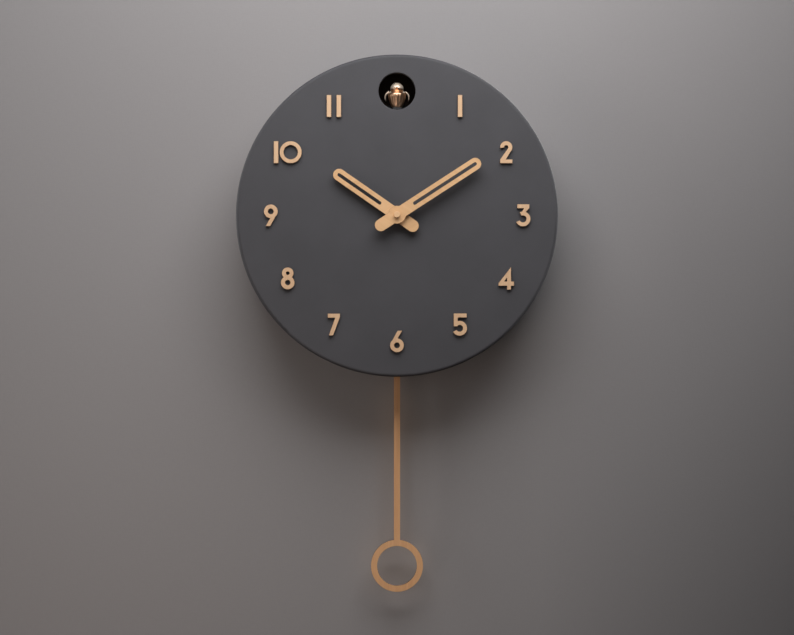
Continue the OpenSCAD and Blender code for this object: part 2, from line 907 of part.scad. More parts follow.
// Soft iron plate around the rotor, with two legs up to the coil's core
module stator() {
    leg_top = case_top - case_wall - stator_top_gap;
    bar_z = leg_top - stator_left_h;
    color("silver") slab(level_y(stator_level), stator_t) difference() {
        union() {
            translate(rotor_p) circle(stator_ring_r);
            translate([rotor_p[0] + stator_leg_x, rotor_p[1]]) square([stator_leg_w, leg_top - rotor_p[1]]);
            translate([stator_left_x, bar_z]) square([rotor_p[0] - stator_left_x - 1, stator_bar_h]);
            translate([stator_left_x, bar_z]) square([stator_left_w, stator_left_h]);
        }
        translate(rotor_p) circle(rotor_magnet_r + pass_gap);
    }
}

// Winding between the stator's two legs
module movement_coil() {
    color("chocolate")
        translate([0, level_y(stator_level + stator_t / 2), case_top - case_wall - winding_drop])
            bar_x(winding_r, stator_left_x + stator_left_w + pass_gap, rotor_p[0] + stator_leg_x - pass_gap);
}

module movement_board() {
    color("darkgreen") slab(level_y(circuit_level), circuit_t)
        translate([-case_w / 2 + case_wall + pass_gap, circuit_z]) square([circuit_w, circuit_h]);
}

module movement_cell() {
    color("slategray") translate([0, level_y(case_wall + pass_gap + aa_r), cell_z]) {
        bar_x(aa_r, -aa_l / 2, aa_l / 2 - aa_cap_l);
        bar_x(aa_cap_r, aa_l / 2 - aa_cap_l - sink, aa_l / 2);
    }
}

module movement_contacts() {
    color("silver") for (side = [-1, 1])
        translate([side * (aa_l / 2 + pass_gap + contact_t / 2), 0, 0])
            block([-contact_t / 2, level_y(case_wall + contact_inset),
                   cell_wall_z - 2 * aa_r + contact_inset],
                  [contact_t / 2, level_y(case_inner_depth), cell_wall_z - contact_inset]);
}

// ---------- Pendulum ----------

module pendulum_case() {
    top = -pivot_drop + drive_top;
    color("#222224") {
        difference() {
            block([-drive_w / 2, drive_front_y, top - drive_h], [drive_w / 2, back_front_y, top]);
            block([-drive_w / 2 + drive_wall, drive_front_y + drive_wall, top - drive_h + drive_wall],
                  [drive_w / 2 - drive_wall, back_front_y + cut, top - drive_wall]);
        }
        translate([0, 0, -pivot_drop]) bar_y(pivot_r, hanger_lever_y - pin_over, drive_front_y + sink);
    }
}

module pendulum_coil() {
    color("chocolate") translate([0, 0, -pivot_drop - magnet_drop]) difference() {
        bar_y(coil_r, drive_front_y + drive_wall + glue_gap, drive_front_y + drive_wall + coil_depth);
        bar_y(coil_in_r, drive_front_y, back_front_y);
    }
}

// Lever that swings on the stub, with an eye for the magnet and a peg for the rod
module pendulum_hanger() {
    color("#d9d4c7") translate([0, 0, -pivot_drop]) {
        slab(hanger_lever_y, hanger_lever_t) difference() {
            union() {
                strip(hanger_lever_w, -hook_drop, 0);
                translate([0, -magnet_drop]) circle(magnet_eye_r);
            }
            circle(pivot_r + run_gap);
            translate([0, -magnet_drop]) circle(magnet_r + fit_gap);
        }
        translate([0, 0, -hook_drop]) bar_y(peg_r, rod_y - pin_over, hanger_lever_y + sink);
    }
}

module pendulum_magnet() {
    color("silver") translate([0, 0, -pivot_drop - magnet_drop])
        bar_y(magnet_r, hanger_lever_y + magnet_recess, hanger_lever_y + magnet_recess + magnet_t);
}

// Rod and ring cut from one sheet
module pendulum() {
    hole_z = -pivot_drop - hook_drop;
    color("#a87c5a") slab(rod_y, rod_t) difference() {
        union() {
            translate([0, -bob_drop]) circle(bob_d / 2);
            strip(rod_w, -bob_drop + bob_d / 2 - bob_band / 2, hole_z + rod_top_over - rod_w / 2);
        }
        translate([0, -bob_drop]) circle(bob_d / 2 - bob_band);
        translate([0, hole_z]) circle(peg_r + run_gap);
    }
}

// ---------- Cuckoo ----------

// Black box behind the hole, open at the front, with flanges and ears for the gears and the motor
module bird_box() {
    half_in = box_in / 2;
    half_out = box_out / 2;
    color("#141414") difference() {
        union() {
            translate([0, 0, bird_hole_z]) {
                block([-half_out, face_back_y, -half_out], [half_out, box_back_y, half_out]);
                for (side = [-1, 1])
                    block([side * half_out - flange_w, face_back_y, -flange_h / 2],
                          [side * half_out + flange_w, face_back_y + flange_t, flange_h / 2]);
            }
            for (x = [-ear_x - ear_t, ear_x])
                block([x, drive_y - ear_half, motor_z - ear_half],
                      [x + ear_t, drive_y + ear_half, bird_hole_z - half_out + sink]);
        }
        translate([0, 0, bird_hole_z]) {
            block([-half_in, face_back_y - cut, -half_in], [half_in, box_back_y - box_wall, half_in]);
            block([-rack_w / 2 - rack_side_gap, drive_y - rack_slot_front, -half_out - cut],
                  [rack_w / 2 + rack_side_gap, box_back_y + cut, rack_slot_h - half_in]);
            for (side = [-1, 1])
                translate([side * guide_x, 0, -guide_drop])
                    bar_y(guide_r + fit_gap, box_back_y - box_wall - cut, box_back_y + cut);
            for (side = [-1, 1])
                translate([side * flange_screw_x, 0, 0])
                    bar_y(screw_r + fit_gap, face_back_y - cut, face_back_y + flange_t + cut);
            block([-rack_w / 2 - rack_side_gap, drive_y - drive_gear_r - gear_room, -half_out - cut],
                  [ear_x - gear_side_gap, drive_y + drive_gear_r + gear_room, cut - half_in]);
        }
        translate([0, drive_y, drive_z])
            bar_x(drive_axle_r + run_gap, -ear_x - ear_t - cut, ear_x + ear_t + cut);
        translate([0, drive_y, motor_z]) {
            bar_x(motor_shaft_r + pass_gap, -ear_x - ear_t - cut, cut - ear_x);
            bar_x(motor_shaft_r + run_gap, ear_x - cut, ear_x + ear_t + cut);
        }
    }
}

module guide_rods() {
    color("silver") for (side = [-1, 1])
        translate([side * guide_x, 0, bird_hole_z - guide_drop])
            bar_y(guide_r, face_back_y + glue_gap, box_back_y);
}

// Block that slides on the rods, with the bird's arm in front and the rack below
module bird_carriage() {
    rack_z = bird_hole_z - rack_pitch_drop;
    color("#2a2a2c") {
        translate([0, 0, bird_hole_z]) difference() {
            union() {
                block([-carriage_w / 2, carriage_y, carriage_bottom], [carriage_w / 2, rack_y, carriage_top]);
                block([-arm_w / 2, bird_axis_y - foot_r, -bird_foot_drop - arm_t],
                      [arm_w / 2, carriage_y + sink, -bird_foot_drop]);
            }
            for (side = [-1, 1])
                translate([side * guide_x, 0, -guide_drop])
                    bar_y(guide_r + run_gap, carriage_y - cut, rack_y + cut);
        }
        translate([-rack_w / 2, 0, 0]) rotate([90, 0, 90]) linear_extrude(rack_w) {
            translate([drive_y - rack_lead, rack_z + tooth_ded * rack_module])
                square([rack_len, rack_bar_t]);
            for (i = [0 : rack_teeth]) translate([drive_y + i * rack_pitch, rack_z])
                polygon([[-tooth_root * rack_pitch / 2, tooth_ded * rack_module + sink],
                         [-tooth_tip * rack_pitch / 2, -tooth_add * rack_module],
                         [tooth_tip * rack_pitch / 2, -tooth_add * rack_module],
                         [tooth_root * rack_pitch / 2, tooth_ded * rack_module + sink]]);
        }
    }
}

// Bird with a round chest, neck, head and beak, and a block behind that holds the wings' pins
module bird_body() {
    color("#c98f63") translate([0, bird_axis_y, bird_hole_z]) {
        rotate_extrude($fn = 48) intersection() {
            union() {
                polygon([[0, -bird_foot_drop], [foot_r, -bird_foot_drop], [chest_r - 1.2, -8],
                         [chest_r, -4.5], [chest_r - 0.8, -1.5], [neck_r, 0.5], [neck_r, head_z],
                         [0, head_z]]);
                translate([0, head_z]) circle(head_r);
            }
            translate([0, -bird_foot_drop - cut]) square([2 * chest_r, 3 * bird_foot_drop]);
        }
        translate([0, beak_sink - head_r, beak_z]) rotate([90, 0, 0])
            cylinder(h = beak_l, r1 = beak_r, r2 = beak_tip_r, $fn = 24);
        block([-hump_half_w, hump_front, hump_bottom], [hump_half_w, chest_r, hump_top]);
        for (side = [-1, 1])
            translate([side * shoulder_x, 0, shoulder_z])
                bar_y(wing_pin_r, chest_r - sink, wing_y - bird_axis_y + wing_hub_t + wing_pin_over);
    }
}

// Thin curved wing that stands off the bird's side, on its pin.
// side is 1 on the right and -1 on the left.
module wing(side) {
    color("#d09a70") translate([side * shoulder_x, 0, bird_hole_z + shoulder_z])
        mirror([side < 0 ? 1 : 0, 0, 0]) difference() {
            union() {
                bar_y(wing_hub_r, wing_y, wing_y + wing_hub_t);
                slab(wing_y + wing_hub_t - wing_l, wing_l) translate([wing_x, -wing_drop])
                    arc_band(wing_r, wing_r - wing_t, wing_from, wing_to);
            }
            bar_y(wing_pin_r + run_gap, wing_y - cut, wing_y + wing_hub_t + cut);
        }
}

module drive_gear() {
    color("ivory") translate([0, drive_y, drive_z]) {
        bar_x(drive_axle_r, -ear_x - ear_t, ear_x + ear_t);
        rotate([90, 0, 90]) {
            translate([0, 0, rack_side_gap - rack_w / 2]) linear_extrude(rack_w - 2 * rack_side_gap)
                gear2d(drive_pinion_teeth, rack_module, 90, true);
            translate([0, 0, rack_w / 2 + gear_side_gap]) linear_extrude(gear_face - gear_side_gap)
                gear2d(drive_gear_teeth, drive_module, -90);
        }
    }
}

module motor_pinion() {
    color("#b08d57") translate([0, drive_y, motor_z]) {
        rotate([90, 0, 90]) translate([0, 0, rack_w / 2 + gear_side_gap])
            linear_extrude(gear_face - gear_side_gap) gear2d(motor_pinion_teeth, drive_module, 90, true);
        bar_x(motor_shaft_r, -ear_x - ear_t - shaft_end + sink, ear_x + ear_t);
    }
}

module drive_motor() {
    end_x = -ear_x - ear_t;
    color("silver") translate([0, drive_y, motor_z]) difference() {
        bar_x(motor_r, end_x - motor_l, end_x);
        bar_x(motor_shaft_r + run_gap, end_x - shaft_end, end_x + cut);
    }
}

module box_screws() {
    color("silver") for (side = [-1, 1])
        translate([side * flange_screw_x, 0, bird_hole_z])
            wood_screw(face_back_y + flange_t + screw_head_t, flange_t + flange_screw_l - flange_screw_end);
}

// ---------- Sound unit and batteries ----------

module speaker() {
    color("#1b1b1d") translate([speaker_x, back_front_y, speaker_z]) {
        bar_y(speaker_r, -speaker_flange_t, 0);
        translate([0, -speaker_flange_t, 0]) rotate([90, 0, 0])
            cylinder(h = basket_h, r1 = speaker_r - speaker_lip, r2 = basket_top_r);
        bar_y(speaker_magnet_r, -speaker_flange_t - speaker_h, sink - speaker_flange_t - basket_h);
    }
}

module sound_board() {
    board_front_y = back_front_y - board_stand;
    slider_room_w = switch_travel + slider_w / 2 + slider_gap;
    slider_room_h = slider_h / 2 + pass_gap;
    color("#1f5a36") {
        translate([board_x, board_front_y - board_t, board_z]) cube([board_w, board_t, board_h]);
        difference() {
            block([switch_x - switch_half_w, board_front_y - sink, switch_z - switch_half_h],
                  [switch_x + switch_half_w, back_front_y - switch_face_gap, switch_z + switch_half_h]);
            block([switch_x - slider_room_w, board_front_y + switch_floor, switch_z - slider_room_h],
                  [switch_x + slider_room_w, back_front_y, switch_z + slider_room_h]);
        }
        for (x = [standoff_inset, board_w - standoff_inset])
            for (z = [standoff_inset, board_h - standoff_inset])
                translate([board_x + x, 0, board_z + z])
                    bar_y(standoff_r, board_front_y - sink, back_front_y);
    }
}

module volume_switch() {
    color("#e8e4d8")
        block([switch_x - slider_w / 2, back_front_y - board_stand + switch_floor + pass_gap,
               switch_z - slider_h / 2],
              [switch_x + slider_w / 2, -slider_recess, switch_z + slider_h / 2]);
}

module battery_tray() {
    half_w = tray_in_w / 2 + tray_wall;
    half_h = tray_in_h / 2 + tray_wall;
    color("#232326") translate([tray_x, back_front_y, tray_z]) difference() {
        block([-half_w, -tray_depth, -half_h], [half_w, 0, half_h]);
        block([-half_w + tray_wall, -tray_depth + tray_wall, -half_h + tray_wall],
              [half_w - tray_wall, cut, half_h - tray_wall]);
    }
}

module tray_cells() {
    color("slategray") for (side = [-1, 1])
        translate([tray_x + side * cell_pitch / 2, back_front_y - tray_depth + tray_wall + pass_gap + cell_r,
                   tray_z])
            rotate([side < 0 ? 180 : 0, 0, 0]) {
                translate([0, 0, -cell_l / 2]) cylinder(h = cell_l - cell_cap_l, r = cell_r);
                translate([0, 0, cell_l / 2 - cell_cap_l - sink])
                    cylinder(h = cell_cap_l + sink, r = cell_cap_r);
            }
}

// Sprung contact plates at both ends of the cells
module tray_contacts() {
    pad_h = tray_in_h / 2 - cell_l / 2 - pass_gap - contact_t;
    color("silver") for (side = [-1, 1])
        for (end = [0, 1])
            translate([tray_x + side * cell_pitch / 2, back_front_y - tray_depth / 2, tray_z])
                mirror([0, 0, end]) translate([0, 0, tray_in_h / 2 - contact_t - fit_gap]) {
                    translate([-contact_plate / 2, -contact_plate / 2, 0])
                        cube([contact_plate, contact_plate, contact_t]);
                    translate([0, 0, -pad_h]) cylinder(h = pad_h + sink, r = contact_pad_r);
                }
}

module battery_door() {
    color("#2a2a2c") translate([tray_x, 0, tray_z]) lid(tray_in_w, tray_in_h);
}

module cell_door() {
    color("#2a2a2c") translate([0, 0, cell_z]) lid(cell_window_w, cell_window_h);
}

face_panel();
case_ring();
screw_blocks();
back_panel();
wood_screws();
hanger_plate();
numeral(1);  // numeral_01
numeral(2);  // numeral_02
numeral(3);  // numeral_03
numeral(4);  // numeral_04
numeral(5);  // numeral_05
numeral(6);  // numeral_06
numeral(7);  // numeral_07
numeral(8);  // numeral_08
numeral(9);  // numeral_09
numeral(10);  // numeral_10
numeral(11);  // numeral_11
hour_hand();
minute_hand();
hand_cap();
movement_case();
movement_cover();
movement_gasket();
fixing_nut();
hour_wheel();
minute_arbor();
reduction_arbor();
setting_knob();
third_wheel();
seconds_wheel();
intermediate_wheel();
rotor();
stator();
movement_coil();
movement_board();
movement_cell();
movement_contacts();
pendulum_case();
pendulum_coil();
pendulum_hanger();
pendulum_magnet();
pendulum();
bird_box();
guide_rods();
bird_carriage();
bird_body();
wing(-1);  // wing_left
wing(1);  // wing_right
drive_gear();
drive_motor();
motor_pinion();
box_screws();
speaker();
sound_board();
volume_switch();
battery_tray();
tray_cells();
tray_contacts();
battery_door();
cell_door();
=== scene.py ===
import math

import bmesh
import bpy
from mathutils import Matrix, Vector


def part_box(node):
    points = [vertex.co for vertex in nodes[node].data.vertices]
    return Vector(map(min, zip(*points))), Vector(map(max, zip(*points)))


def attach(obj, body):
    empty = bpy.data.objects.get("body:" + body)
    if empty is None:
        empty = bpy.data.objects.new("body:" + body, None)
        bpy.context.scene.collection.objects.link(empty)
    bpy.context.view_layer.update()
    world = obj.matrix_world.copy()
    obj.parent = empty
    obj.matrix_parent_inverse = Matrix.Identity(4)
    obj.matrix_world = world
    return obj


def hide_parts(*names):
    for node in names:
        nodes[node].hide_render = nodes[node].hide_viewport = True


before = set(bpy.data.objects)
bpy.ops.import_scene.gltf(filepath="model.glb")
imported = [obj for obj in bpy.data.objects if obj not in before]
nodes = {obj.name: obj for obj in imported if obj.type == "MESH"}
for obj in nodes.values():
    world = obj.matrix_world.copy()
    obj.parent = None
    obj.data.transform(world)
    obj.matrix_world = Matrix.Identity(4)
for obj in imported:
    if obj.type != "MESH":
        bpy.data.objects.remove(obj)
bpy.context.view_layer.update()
mm = 0.001

# ---------- Studio ----------
# A grey plastered wall that the clock hangs on, with painted shade darkening its lower right, and a pale
# floor far below it.
# A soft box hangs above the clock, and a weak warm one stands low on the left.


def placed(name, data):
    """A new object in the scene that shows this data."""
    thing = bpy.data.objects.new(name, data)
    bpy.context.scene.collection.objects.link(thing)
    return thing


def add(tree, kind, wires=None, **settings):
    """Adds a node of any kind, sets it, and joins or sets its inputs."""
    node = tree.nodes.new(kind)
    for name, value in settings.items():
        setattr(node, name, value)
    for name, value in (wires or {}).items():
        if isinstance(value, bpy.types.NodeSocket):
            tree.links.new(value, node.inputs[name])
        else:
            node.inputs[name].default_value = value
    return node


def put(tree, kind, wires=None, **settings):
    """Adds a shader node."""
    return add(tree, "ShaderNode" + kind, wires, **settings)


def mix(tree, share, low, high, way="MIX"):
    """Mixes two colours and gives the result's socket."""
    return put(tree, "Mix", {0: share, 6: low, 7: high}, data_type="RGBA", blend_type=way).outputs[2]


def sums(tree, work, first, second=0.0, third=0.0, clamp=False):
    """One step of arithmetic on values."""
    return put(tree, "Math", {0: first, 1: second, 2: third}, operation=work, use_clamp=clamp).outputs[0]


def spread(tree, value, low, high, to_low, to_high):
    """Maps a value from one range to another, without overrun."""
    return put(tree, "MapRange", {0: value, 1: low, 2: high, 3: to_low, 4: to_high}).outputs[0]


def surface(name, **sockets):
    """A new material and its Principled shader, with the given constant values."""
    material = bpy.data.materials.new(name)
    material.use_nodes = True
    tree = material.node_tree
    tree.nodes.clear()
    shader = put(tree, "BsdfPrincipled", {label.replace("_", " "): value for label, value in sockets.items()})
    put(tree, "OutputMaterial", {"Surface": shader.outputs[0]})
    return material, tree, shader


def blotches(tree, scale, detail=4.0, stretch=(1, 1, 1), turn=(0, 0, 0)):
    """Noise over the piece itself, stretched and turned with it."""
    at = put(tree, "TexCoord").outputs["Object"]
    laid = put(tree, "Mapping", {"Vector": at, "Scale": stretch, "Rotation": turn}).outputs[0]
    noise = {"Vector": laid, "Scale": scale, "Detail": detail, "Roughness": 0.55}
    return put(tree, "TexNoise", noise).outputs[0]


def flat_sheet(name, corners, material):
    """A four-sided stage sheet."""
    mesh = bpy.data.meshes.new(name)
    mesh.from_pydata(corners, [], [range(len(corners))])
    mesh.materials.append(material)
    sheet = placed(name, mesh)
    return sheet


plaster, tree, shader = surface("plaster", Roughness=0.9, Specular_IOR_Level=0.15)
cloudy = blotches(tree, 1.6, 3)
weave = sums(tree, "ADD", blotches(tree, 160, 3, (1, 1, 7)), blotches(tree, 160, 3, (7, 1, 1)))
tone = sums(tree, "ADD", sums(tree, "MULTIPLY", cloudy, 0.4), sums(tree, "MULTIPLY", weave, 0.3))
where = put(tree, "SeparateXYZ", {0: put(tree, "TexCoord").outputs["Object"]})
# Painted shade: the plaster's colour is drawn towards near black to the right of the clock and lower down,
# for the fall of light across the wall.
painted_shade = sums(tree, "MULTIPLY", spread(tree, where.outputs["X"], 0.14, 0.42, 0.0, 0.42),
            spread(tree, where.outputs["Z"], 0.26, -0.40, 0.25, 1.0))
painted = mix(tree, tone, (0.330, 0.312, 0.310, 1), (0.390, 0.385, 0.385, 1))
tree.links.new(mix(tree, painted_shade, painted, (0.0, 0.0, 0.006, 1)), shader.inputs["Base Color"])
bump = put(tree, "Bump", {"Height": weave, "Strength": 0.12, "Distance": 0.0005})
tree.links.new(bump.outputs[0], shader.inputs["Normal"])
clear = put(tree, "BsdfTransparent")
behind = put(tree, "NewGeometry").outputs["Backfacing"]
either = put(tree, "MixShader", {0: behind, 1: shader.outputs[0], 2: clear.outputs[0]})
tree.links.new(either.outputs[0], tree.get_output_node("ALL").inputs["Surface"])
floor_z, floor_reach = -1.15, 6
wall_y, wall_reach, wall_top = 0.0004, 4, 3
wall_corners = [(-wall_reach, wall_y, floor_z), (wall_reach, wall_y, floor_z),
                (wall_reach, wall_y, wall_top), (-wall_reach, wall_y, wall_top)]
wall = flat_sheet("wall_stage", wall_corners, plaster)
for flag in ("visible_shadow", "visible_diffuse", "visible_glossy", "visible_transmission"):
    setattr(wall, flag, False)

pale, tree, shader = surface("pale_floor", Roughness=0.8, Specular_IOR_Level=0.2,
                             Emission_Color=(0.60, 0.60, 0.61, 1), Emission_Strength=0.75)
tree.links.new(mix(tree, blotches(tree, 3), (0.60, 0.59, 0.58, 1), (0.66, 0.65, 0.64, 1)),
               shader.inputs["Base Color"])
ground = flat_sheet("floor_stage", [(floor_reach * x, floor_reach * y, floor_z)
                                    for x, y in ((-1, -1), (1, -1), (1, 1), (-1, 1))], pale)
ground.visible_diffuse = ground.visible_glossy = False

room = bpy.data.worlds.new("room")
room.use_nodes = True
bpy.context.scene.world = room
tree = room.node_tree
tree.nodes.clear()
seen = put(tree, "Background", {"Color": (0.62, 0.62, 0.63, 1), "Strength": 1.0})
glow = put(tree, "Background", {"Color": (0.95, 0.97, 1.0, 1), "Strength": 0.016})
pick = put(tree, "MixShader", {0: put(tree, "LightPath").outputs["Is Camera Ray"],
                               1: glow.outputs[0], 2: seen.outputs[0]})
put(tree, "OutputWorld", {"Surface": pick.outputs[0]})


def soft_box(name, place, aim, size, watts, colour):
    """A rectangular soft box, aimed at a point."""
    lamp = bpy.data.lights.new(name, "AREA")
    lamp.shape = "RECTANGLE"
    lamp.size, lamp.size_y = size
    lamp.energy = watts
    lamp.color = colour
    holder = placed(name, lamp)
    holder.location = place
    holder.rotation_euler = (Vector(aim) - Vector(place)).to_track_quat("-Z", "Y").to_euler()
    holder.visible_camera = False


soft_box("key_above", (0.03, -0.50, 0.53), (0, 0, 0.0), (0.80, 0.58), 5.95, (1.0, 0.985, 1.0))
soft_box("fill_low_left", (-0.36, -0.56, -0.40), (-0.1, 0, -0.15), (0.4, 0.4), 0.55, (1.0, 0.78, 0.68))
soft_box("front", (-0.05, -2.1, 0.05), (0, 0, 0), (1.1, 1.1), 1.5, (1.0, 0.97, 0.93))
soft_box("side_right", (1.9, 0.55, 0.3), (0, -0.04, 0), (0.8, 1.2), 16.0, (1.0, 1.0, 1.0))
soft_box("side_left", (-1.9, 0.55, 0.3), (0, -0.04, 0), (0.8, 1.2), 16.0, (1.0, 1.0, 1.0))
soft_box("far_wall", (-2.4, -1.1, 0.2), (-2.4, 0, 0), (1.2, 1.2), 11.0, (1.0, 0.99, 0.98))
soft_box("behind", (0.9, 1.5, 1.0), (0, 0, -0.1), (1.4, 1.4), 34.0, (1.0, 0.99, 0.97))

view_distance, view_level = 1.575, -0.0948
camera = placed("camera", bpy.data.cameras.new("camera"))
camera.location = (0, -view_distance, view_level)
camera.rotation_euler = (math.radians(90), 0, 0)
camera.data.lens = 73.2
camera.data.sensor_width = 36
bpy.context.scene.camera = camera
bpy.context.scene.view_settings.view_transform = "Standard"

# ---------- Drum ----------
# A round dial board glued to a bent side wall, filled and sprayed as one with a matt dark grey lacquer.
# The lacquer has a very fine peel, and it is rubbed a little paler along its rounded front edge.


def group(name, ways_in, ways_out):
    """A shader node group: its tree, the sockets that come in, and the sockets that go out."""
    tree = bpy.data.node_groups.new(name, "ShaderNodeTree")
    for label, kind, value in ways_in:
        socket = tree.interface.new_socket(label, in_out="INPUT", socket_type="NodeSocket" + kind)
        if value is not None:
            socket.default_value = value
    for label, kind in ways_out:
        tree.interface.new_socket(label, in_out="OUTPUT", socket_type="NodeSocket" + kind)
    return tree, tree.nodes.new("NodeGroupInput").outputs, tree.nodes.new("NodeGroupOutput").inputs


def use(tree, made, wires=None):
    """Places a finished shader group in a material."""
    return put(tree, "Group", wires, node_tree=made)


soft_edges, come, go = group("soft_edges", [("Radius", "Float", 0.0005)],
                             [("Normal", "Vector"), ("Edge", "Float")])
rounded = put(soft_edges, "Bevel", {"Radius": come["Radius"]}, samples=6)
true_way = put(soft_edges, "NewGeometry").outputs["True Normal"]
turned = put(soft_edges, "VectorMath", {0: rounded.outputs[0], 1: true_way},
             operation="DOT_PRODUCT").outputs["Value"]
soft_edges.links.new(rounded.outputs[0], go["Normal"])
soft_edges.links.new(spread(soft_edges, turned, 0.995, 0.80, 0.0, 1.0), go["Edge"])

speckle, come, go = group(
    "speckle",
    [("Scale", "Float", 800.0), ("Depth", "Float", 0.00003), ("Strength", "Float", 0.3),
     ("Normal", "Vector", None)],
    [("Normal", "Vector"), ("Grain", "Float"), ("Patches", "Float")])
at = put(speckle, "TexCoord").outputs["Object"]
fine = put(speckle, "TexNoise", {"Vector": at, "Scale": come["Scale"], "Detail": 3.0}).outputs[0]
broad = put(speckle, "TexNoise", {"Vector": at, "Scale": 18.0, "Detail": 4.0, "Roughness": 0.6}).outputs[0]
raised = put(speckle, "Bump", {"Height": fine, "Strength": come["Strength"], "Distance": come["Depth"],
                               "Normal": come["Normal"]})
speckle.links.new(raised.outputs[0], go["Normal"])
speckle.links.new(fine, go["Grain"])
speckle.links.new(broad, go["Patches"])


def moulded(name, colour, worn, roughness, scale=900.0, depth=0.00004, edge=0.0004, wear=0.5, **sockets):
    """A plain coloured finish with fine grain, uneven gloss, softened edges and wear along them."""
    material, tree, shader = surface(name, **sockets)
    soft = use(tree, soft_edges, {"Radius": edge})
    grain = use(tree, speckle, {"Scale": scale, "Depth": depth, "Strength": 0.5,
                                "Normal": soft.outputs["Normal"]})
    patchy = spread(tree, grain.outputs["Patches"], 0.3, 0.7, 0.93, 1.07)
    grey = put(tree, "CombineColor", {0: patchy, 1: patchy, 2: patchy}).outputs[0]
    tinted = mix(tree, 1.0, colour, grey, "MULTIPLY")
    broken = sums(tree, "MULTIPLY", soft.outputs["Edge"],
                  spread(tree, grain.outputs["Patches"], 0.35, 0.65, 0.2, wear), clamp=True)
    tree.links.new(mix(tree, broken, tinted, worn), shader.inputs["Base Color"])
    tree.links.new(sums(tree, "ADD", roughness - 0.06, sums(tree, "MULTIPLY", grain.outputs["Grain"], 0.12)),
                   shader.inputs["Roughness"])
    tree.links.new(grain.outputs["Normal"], shader.inputs["Normal"])
    return material


def dress(material, *names):
    """Gives CAD pieces their finish."""
    for name in names:
        mesh = nodes[name].data
        mesh.materials.clear()
        mesh.materials.append(material)


lacquer = moulded("drum_lacquer", (0.0765, 0.0760, 0.0825, 1), (0.105, 0.105, 0.112, 1), 0.60, scale=700.0,
                  depth=0.00003, edge=0.0010, wear=0.55, Specular_IOR_Level=0.38)
dress(lacquer, "face_panel", "case_ring")

# ---------- Plywood ----------
# Numerals, hands and pendulum are cut by laser from 3 mm birch plywood with a clear golden coat.
# The beam leaves the cut sides dark brown, with the plies showing, and toasts a fine line along each edge.

birch_grain, come, go = group(
    "birch_grain",
    [("Turn", "Float", 0.0), ("Light", "Color", (1, 1, 1, 1)), ("Dark", "Color", (0, 0, 0, 1))],
    [("Color", "Color"), ("Height", "Float"), ("Gloss", "Float")])
at = put(birch_grain, "TexCoord").outputs["Object"]
turned = put(birch_grain, "VectorRotate", {"Vector": at, "Axis": (0, 1, 0), "Angle": come["Turn"]},
             rotation_type="AXIS_ANGLE").outputs[0]


def grain_noise(where, stretch, outlet=0, **sockets):
    """Noise drawn out along the grain."""
    laid = put(birch_grain, "Mapping", {"Vector": where, "Scale": stretch}).outputs[0]
    return put(birch_grain, "TexNoise", {"Vector": laid, "Scale": 1.0, **sockets}).outputs[outlet]


wavy = grain_noise(turned, (30, 30, 5), outlet=1, Detail=2.0)
sway = put(birch_grain, "VectorMath", {0: wavy, 1: (0.004, 0, 0)}, operation="MULTIPLY").outputs[0]
bent = put(birch_grain, "VectorMath", {0: turned, 1: sway}, operation="ADD").outputs[0]
rings = grain_noise(bent, (260, 260, 9), Detail=3.0, Roughness=0.6)
fibre = grain_noise(turned, (2600, 2600, 90), Detail=2.0)
broad = put(birch_grain, "TexNoise", {"Vector": turned, "Scale": 30.0, "Detail": 2.0}).outputs[0]
fine_shade = sums(birch_grain, "ADD", sums(birch_grain, "MULTIPLY", fibre, 0.3),
                  sums(birch_grain, "MULTIPLY", broad, 0.35))
shade = sums(birch_grain, "ADD", sums(birch_grain, "MULTIPLY", rings, 0.55), fine_shade)
light_share = spread(birch_grain, shade, 0.42, 0.80, 0.0, 1.0)
birch_grain.links.new(mix(birch_grain, light_share, come["Light"], come["Dark"]), go["Color"])
birch_grain.links.new(sums(birch_grain, "ADD", rings, fibre), go["Height"])
birch_grain.links.new(spread(birch_grain, fibre, 0.3, 0.7, 0.46, 0.62), go["Gloss"])

ply_t = 0.75
burnt_side, come, go = group("burnt_side", [("Ply", "Float", ply_t)], [("Side", "Float"), ("Color", "Color")])
way = put(burnt_side, "SeparateXYZ", {0: put(burnt_side, "TexCoord").outputs["Normal"]}).outputs["Y"]
depth_at = put(burnt_side, "SeparateXYZ", {0: put(burnt_side, "TexCoord").outputs["Object"]}).outputs["Y"]
plies_deep = sums(burnt_side, "DIVIDE", sums(burnt_side, "MULTIPLY", depth_at, 1000.0), come["Ply"])
layer = sums(burnt_side, "PINGPONG", plies_deep, 1.0)
at = put(burnt_side, "TexCoord").outputs["Object"]
char = put(burnt_side, "TexNoise", {"Vector": at, "Scale": 500.0, "Detail": 3.0}).outputs[0]
banded = sums(burnt_side, "MULTIPLY", spread(burnt_side, layer, 0.3, 0.7, 0.0, 1.0), 0.6)
lines = sums(burnt_side, "ADD", banded, sums(burnt_side, "MULTIPLY", char, 0.5))
burnt_side.links.new(spread(burnt_side, sums(burnt_side, "ABSOLUTE", way), 0.80, 0.60, 0.0, 1.0), go["Side"])
burnt_side.links.new(mix(burnt_side, lines, (0.030, 0.012, 0.006, 1), (0.115, 0.050, 0.022, 1)), go["Color"])


